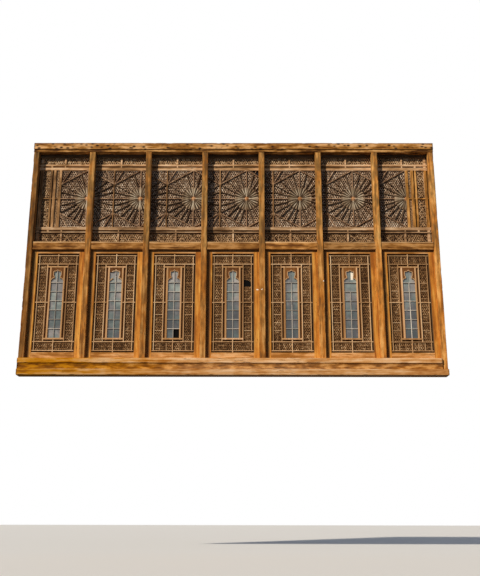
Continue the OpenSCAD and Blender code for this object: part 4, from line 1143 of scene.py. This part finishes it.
def timber_section(width, depth, radius, hollow):
    """
    Half a section from its back corner to the middle of its front, then the other half mirrored:
    places a across and b deep, and the outward normals. The hollow is b = h (1 - (2a / w)^2).
    """
    side = np.linspace(depth, radius, SIDE_STEPS, endpoint=False)
    turn = np.linspace(0, math.pi / 2, CORNER_STEPS)
    front = (width / 2 - radius) * (1 - (np.arange(FRONT_HALF_STEPS) + 1) / (FRONT_HALF_STEPS + 0.5))
    a = np.concatenate((np.full(SIDE_STEPS, width / 2), width / 2 - radius * (1 - np.cos(turn)), front))
    b = np.concatenate((side, radius * (1 - np.sin(turn)), np.zeros(FRONT_HALF_STEPS)))
    out_a = np.concatenate((np.ones(SIDE_STEPS), np.cos(turn), np.zeros(FRONT_HALF_STEPS)))
    out_b = np.concatenate((np.zeros(SIDE_STEPS), -np.sin(turn), -np.ones(FRONT_HALF_STEPS)))
    b = b + hollow * np.clip(1 - (2 * a / width) ** 2, 0, 1) * (b < depth / 2)
    return (np.concatenate((a, -a[::-1])), np.concatenate((b, b[::-1])),
            np.concatenate((out_a, -out_a[::-1])), np.concatenate((out_b, out_b[::-1])))


def knots(places, cell):
    """How much each knot of a coarse grid counts at each place: (1 + cos(pi * distance)) / 2."""
    places = (places - places.min()) / cell
    away = np.abs(places[:, None] - np.arange(math.ceil(places.max()) + 2))
    return np.where(away < 1, 0.5 + 0.5 * np.cos(math.pi * away), 0)


def soft_noise(draw, along, around, cell_along, cell_around):
    """Smooth random heights from 0 to 1: rows of knots times random numbers times knots."""
    rows, columns = knots(along, cell_along), knots(around, cell_around)
    return rows @ draw.random((rows.shape[1], columns.shape[1])) @ columns.T


def hewn_timber(node, material, seed, radius=13 * MM, hollow=0.0, station=14 * MM, wave=2.2 * MM,
                chip=7 * MM, check=4 * MM):
    """A node's box as a hewn timber, upright if it is taller than wide, and lying along X if not."""
    draw = np.random.default_rng(seed)
    lo, hi = (np.array(corner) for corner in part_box(node))
    size = hi - lo
    upright = size[2] > size[0]
    width, length = (size[0], size[2]) if upright else (size[2], size[0])
    a, b, out_a, out_b = timber_section(width, size[1], radius, hollow)
    around = np.concatenate(((0,), np.cumsum(np.hypot(np.diff(a), np.diff(b)))))
    along = np.linspace(0, length, int(length / station) + 1)

    push = wave * soft_noise(draw, along, around, *WAVE_CELLS)
    push += SCALLOP_D * soft_noise(draw, along, around, *SCALLOP_CELLS)
    edge = np.exp(-((np.abs(a) - width / 2 + radius / 3) / (radius * 0.8)) ** 2) * (b < 3 * radius)
    chips = np.clip(soft_noise(draw, along, np.sign(a) * 0.1, *CHIP_CELLS) - CHIPPED_ABOVE, 0, 1)
    chips /= 1 - CHIPPED_ABOVE
    push += chip * chips * edge
    for _ in range(max(2, int(length / CHECK_EVERY))):
        place, half = draw.uniform(0, length), draw.uniform(*CHECK_HALF_L)
        line = draw.uniform(-CHECK_OFF_MIDDLE, CHECK_OFF_MIDDLE) * width
        line = line + CHECK_SWAY * np.sin(along * draw.uniform(3, 9))
        fade = np.clip(1 - ((along - place) / half) ** 2, 0, 1)
        groove = np.exp(-((a[None] - line[:, None]) / CHECK_HALF_W) ** 2) * (b < 0.3 * size[1])
        push += check * draw.uniform(0.5, 1.0) * fade[:, None] * groove
    push *= np.clip((0.42 * size[1] - b) / (0.2 * size[1]), 0, 1)

    across = a - push * out_a
    deep = b - push * out_b
    points = np.empty(across.shape + (3,))
    points[..., 0 if upright else 2] = (lo[0] + hi[0] if upright else lo[2] + hi[2]) / 2 + across
    points[..., 1] = lo[1] + deep
    points[..., 2 if upright else 0] = ((lo[2] if upright else lo[0]) + along)[:, None]
    n, rows = len(a), len(along)
    k = np.arange(n // 2 - 1)
    cap = np.stack((k, k + 1, n - 2 - k, n - 1 - k), axis=1)
    quads = np.concatenate((ring_sides(n, rows), cap, cap[:, ::-1] + n * (rows - 1)))
    piece = solid("hewn_" + node, points.reshape(-1, 3), quads if upright else quads[:, ::-1],
                  material, smooth=True)
    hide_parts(node)
    return piece


# %% [markdown]
# Every post, transom, sill and head timber is hewn from its node's box, with a seed of its own.
# Sizes of its edge, chips, checks and hollow are in mm in the table.

# %% Hew the timbers
# How bright each timber is beside the others
JAMB_VALUE = 1.03
POST_VALUES = {"post_1": 1.04, "post_2": 0.88, "post_3": 1.0, "post_4": 0.97, "post_5": 1.05, "post_6": 1.04}
TRANSOM_VALUES = (1.0, 1.05, 0.94, 0.92, 1.2, 0.79, 0.95)
hewn = []
for seed, node in enumerate(["left_jamb", "right_jamb"] + ["post_%d" % i for i in range(1, 7)]):
    chip = 9 * MM if "jamb" in node else 7 * MM
    timber = hewn_timber(node, post_wood, 100 + seed, radius=7 * MM, chip=chip)
    mark(timber, "own", POST_VALUES.get(node, JAMB_VALUE))
    hewn.append(timber)
for i in range(1, 8):
    timber = hewn_timber("transom_%d" % i, transom_wood, 200 + i, radius=4 * MM)
    mark(timber, "own", TRANSOM_VALUES[i - 1])
    hewn.append(timber)
for node, wood, seed, radius, chip, check, hollow in (
        ("sill_lower", sill_wood, 301, 6, 10, 4, 0), ("sill_middle", sill_wood, 302, 3, 7, 4, 9),
        ("sill_upper", sill_wood, 303, 10, 9, 5, 0), ("head_lower", beam_wood, 304, 6, 9, 4, 0),
        ("head_upper", head_wood, 305, 7, 10, 6, 0)):
    hewn.append(hewn_timber(node, wood, seed, radius * MM, hollow * MM, 20 * MM, chip=chip * MM,
                            check=check * MM))
print("hewn timbers:", len(hewn), "faces:", sum(len(piece.data.polygons) for piece in hewn))

# %% [markdown]
# The window panes are old cylinder glass, each a little out of true. Their slate tones are dust together
# with painted reflection: the upper ones are painted paler, as painted reflection of more light than the
# lower ones, and their clouds and each bay's paler panes are partly painted reflection. One pane has been
# lost in the third bay, and the glass behind it is painted black there, as painted shade of the dark room.

# %% Window panes
REFLECTION_LOW_HIGH = (0.95, 1.46)
PANE_TILT = 1.6 * MM
PANE_FRONT = 35 * MM
PANE_D = 3 * MM
PANE_LAP = 3 * MM
LOST_PANE = (3, 1, 0)
# How much a pane's own number and its clouds, of dust and painted reflection, add to its tone, and how much
# it is darkened
PANE_OWN_SHARE, PANE_CLOUD_SHARE, PANE_DARKENED = 0.34, 0.75, 0.28
# How much paler than the rest each bay's top and bottom panes are painted, partly as painted reflection, and
# a bright stripe painted as a reflection in one of them
TOP_SHIFT = np.array((-0.15, 0.4, 0.2, 0.1, -0.18, -0.04, -0.2))
BOTTOM_SHIFT = np.array((1.2, 0.2, -0.2, -0.15, 0.14, 0.15, 0.0))
MIRRORED_STRIPE = [(1.999, 0.036, 1.702 + step, 0.026) for step in (-0.05, -0.02, 0.01, 0.04)]
pane_glass, tree, shader = new_material("cylinder glass, dusty and slate grey")
place = (add(tree, "TexCoord"), "Object")
apart = add(tree, "SeparateXYZ", {"Vector": place})
own = (add(tree, "Attribute", attribute_name="own"), "Fac")
cloud = add(tree, "TexNoise", {"Vector": place, "Scale": 13.0, "Detail": 2.0})
height = add(tree, "MapRange", {"Value": (apart, "Z"), "From Min": REFLECTION_LOW_HIGH[0],
                                "From Max": REFLECTION_LOW_HIGH[1], "To Min": -0.09, "To Max": 0.46},
             interpolation_type="SMOOTHSTEP")
tone = add(tree, "Math", {0: own, 1: PANE_OWN_SHARE, 2: height}, operation="MULTIPLY_ADD")
tone = add(tree, "Math", {0: cloud, 1: PANE_CLOUD_SHARE, 2: tone}, operation="MULTIPLY_ADD")
tone = add(tree, "Math", {0: tone, 1: PANE_DARKENED}, operation="SUBTRACT")
slate = stops(add(tree, "ValToRGB", {"Fac": tone}), (0.05, "#2A282A"), (0.35, "#4E4C4E"), (0.7, "#7A7674"),
              (1.0, "#A39C96"))
teal = stops(add(tree, "ValToRGB", {"Fac": tone}), (0.05, "#222C2C"), (0.35, "#465452"), (0.7, "#6E7A76"),
             (1.0, "#99A29A"))
tint = add(tree, "TexNoise", {"Vector": place, "Scale": 5.0, "Detail": 1.0})
tint = add(tree, "MapRange", {"Value": tint, "From Min": 0.4, "From Max": 0.6})
colour = add(tree, "MixRGB", {"Fac": tint, "Color1": slate, "Color2": teal})
colour = spots(tree, place, colour, MIRRORED_STRIPE, "#FFF4E0")
feed(shader, {"Base Color": colour, "Roughness": 0.12, "IOR": 1.52, "Specular IOR Level": 0.9})

cells = [(bay, side, row) for bay in range(1, 8) for side in (0, 1) for row in range(PANE_ROWS + 1)
         if (bay, side, row) != LOST_PANE]
bay, side, row = np.array(cells).T
x0 = bay_middle(bay) + np.where(side == 0, -GLASS_HALF_W - PANE_LAP, 1 * MM)
x1 = bay_middle(bay) + np.where(side == 0, -1 * MM, GLASS_HALF_W + PANE_LAP)
z0 = PANE_LO_Z + row * PANE_H
z1 = np.where(row == PANE_ROWS, WINDOW_HI_Z - FRAME_W + PANE_LAP, z0 + PANE_H - 1 * MM)
corner_x = np.array((0, 1, 1, 0, 0, 1, 1, 0))
corner_z = np.array((0, 0, 1, 1, 0, 0, 1, 1))
deep = np.array((0, 0, 0, 0, 1, 1, 1, 1))
tilt = rng.uniform(0, PANE_TILT, (len(cells), 2))
points = np.stack((x0[:, None] + (x1 - x0)[:, None] * corner_x,
                   PANE_FRONT + PANE_D * deep + tilt[:, :1] * corner_x + tilt[:, 1:] * corner_z,
                   z0[:, None] + (z1 - z0)[:, None] * corner_z), axis=-1)
box = np.array(((0, 1, 2, 3), (5, 4, 7, 6), (1, 5, 6, 2), (4, 0, 3, 7), (3, 2, 6, 7), (4, 5, 1, 0)))
quads = copies(box, 8, len(cells))
panes = solid("window_panes", points.reshape(-1, 3), quads, pane_glass)
height = row / PANE_ROWS
own = rng.random(len(cells)) + height * TOP_SHIFT[bay - 1] + (1 - height) * BOTTOM_SHIFT[bay - 1]
mark(panes, "own", own)
print("window panes:", len(cells))
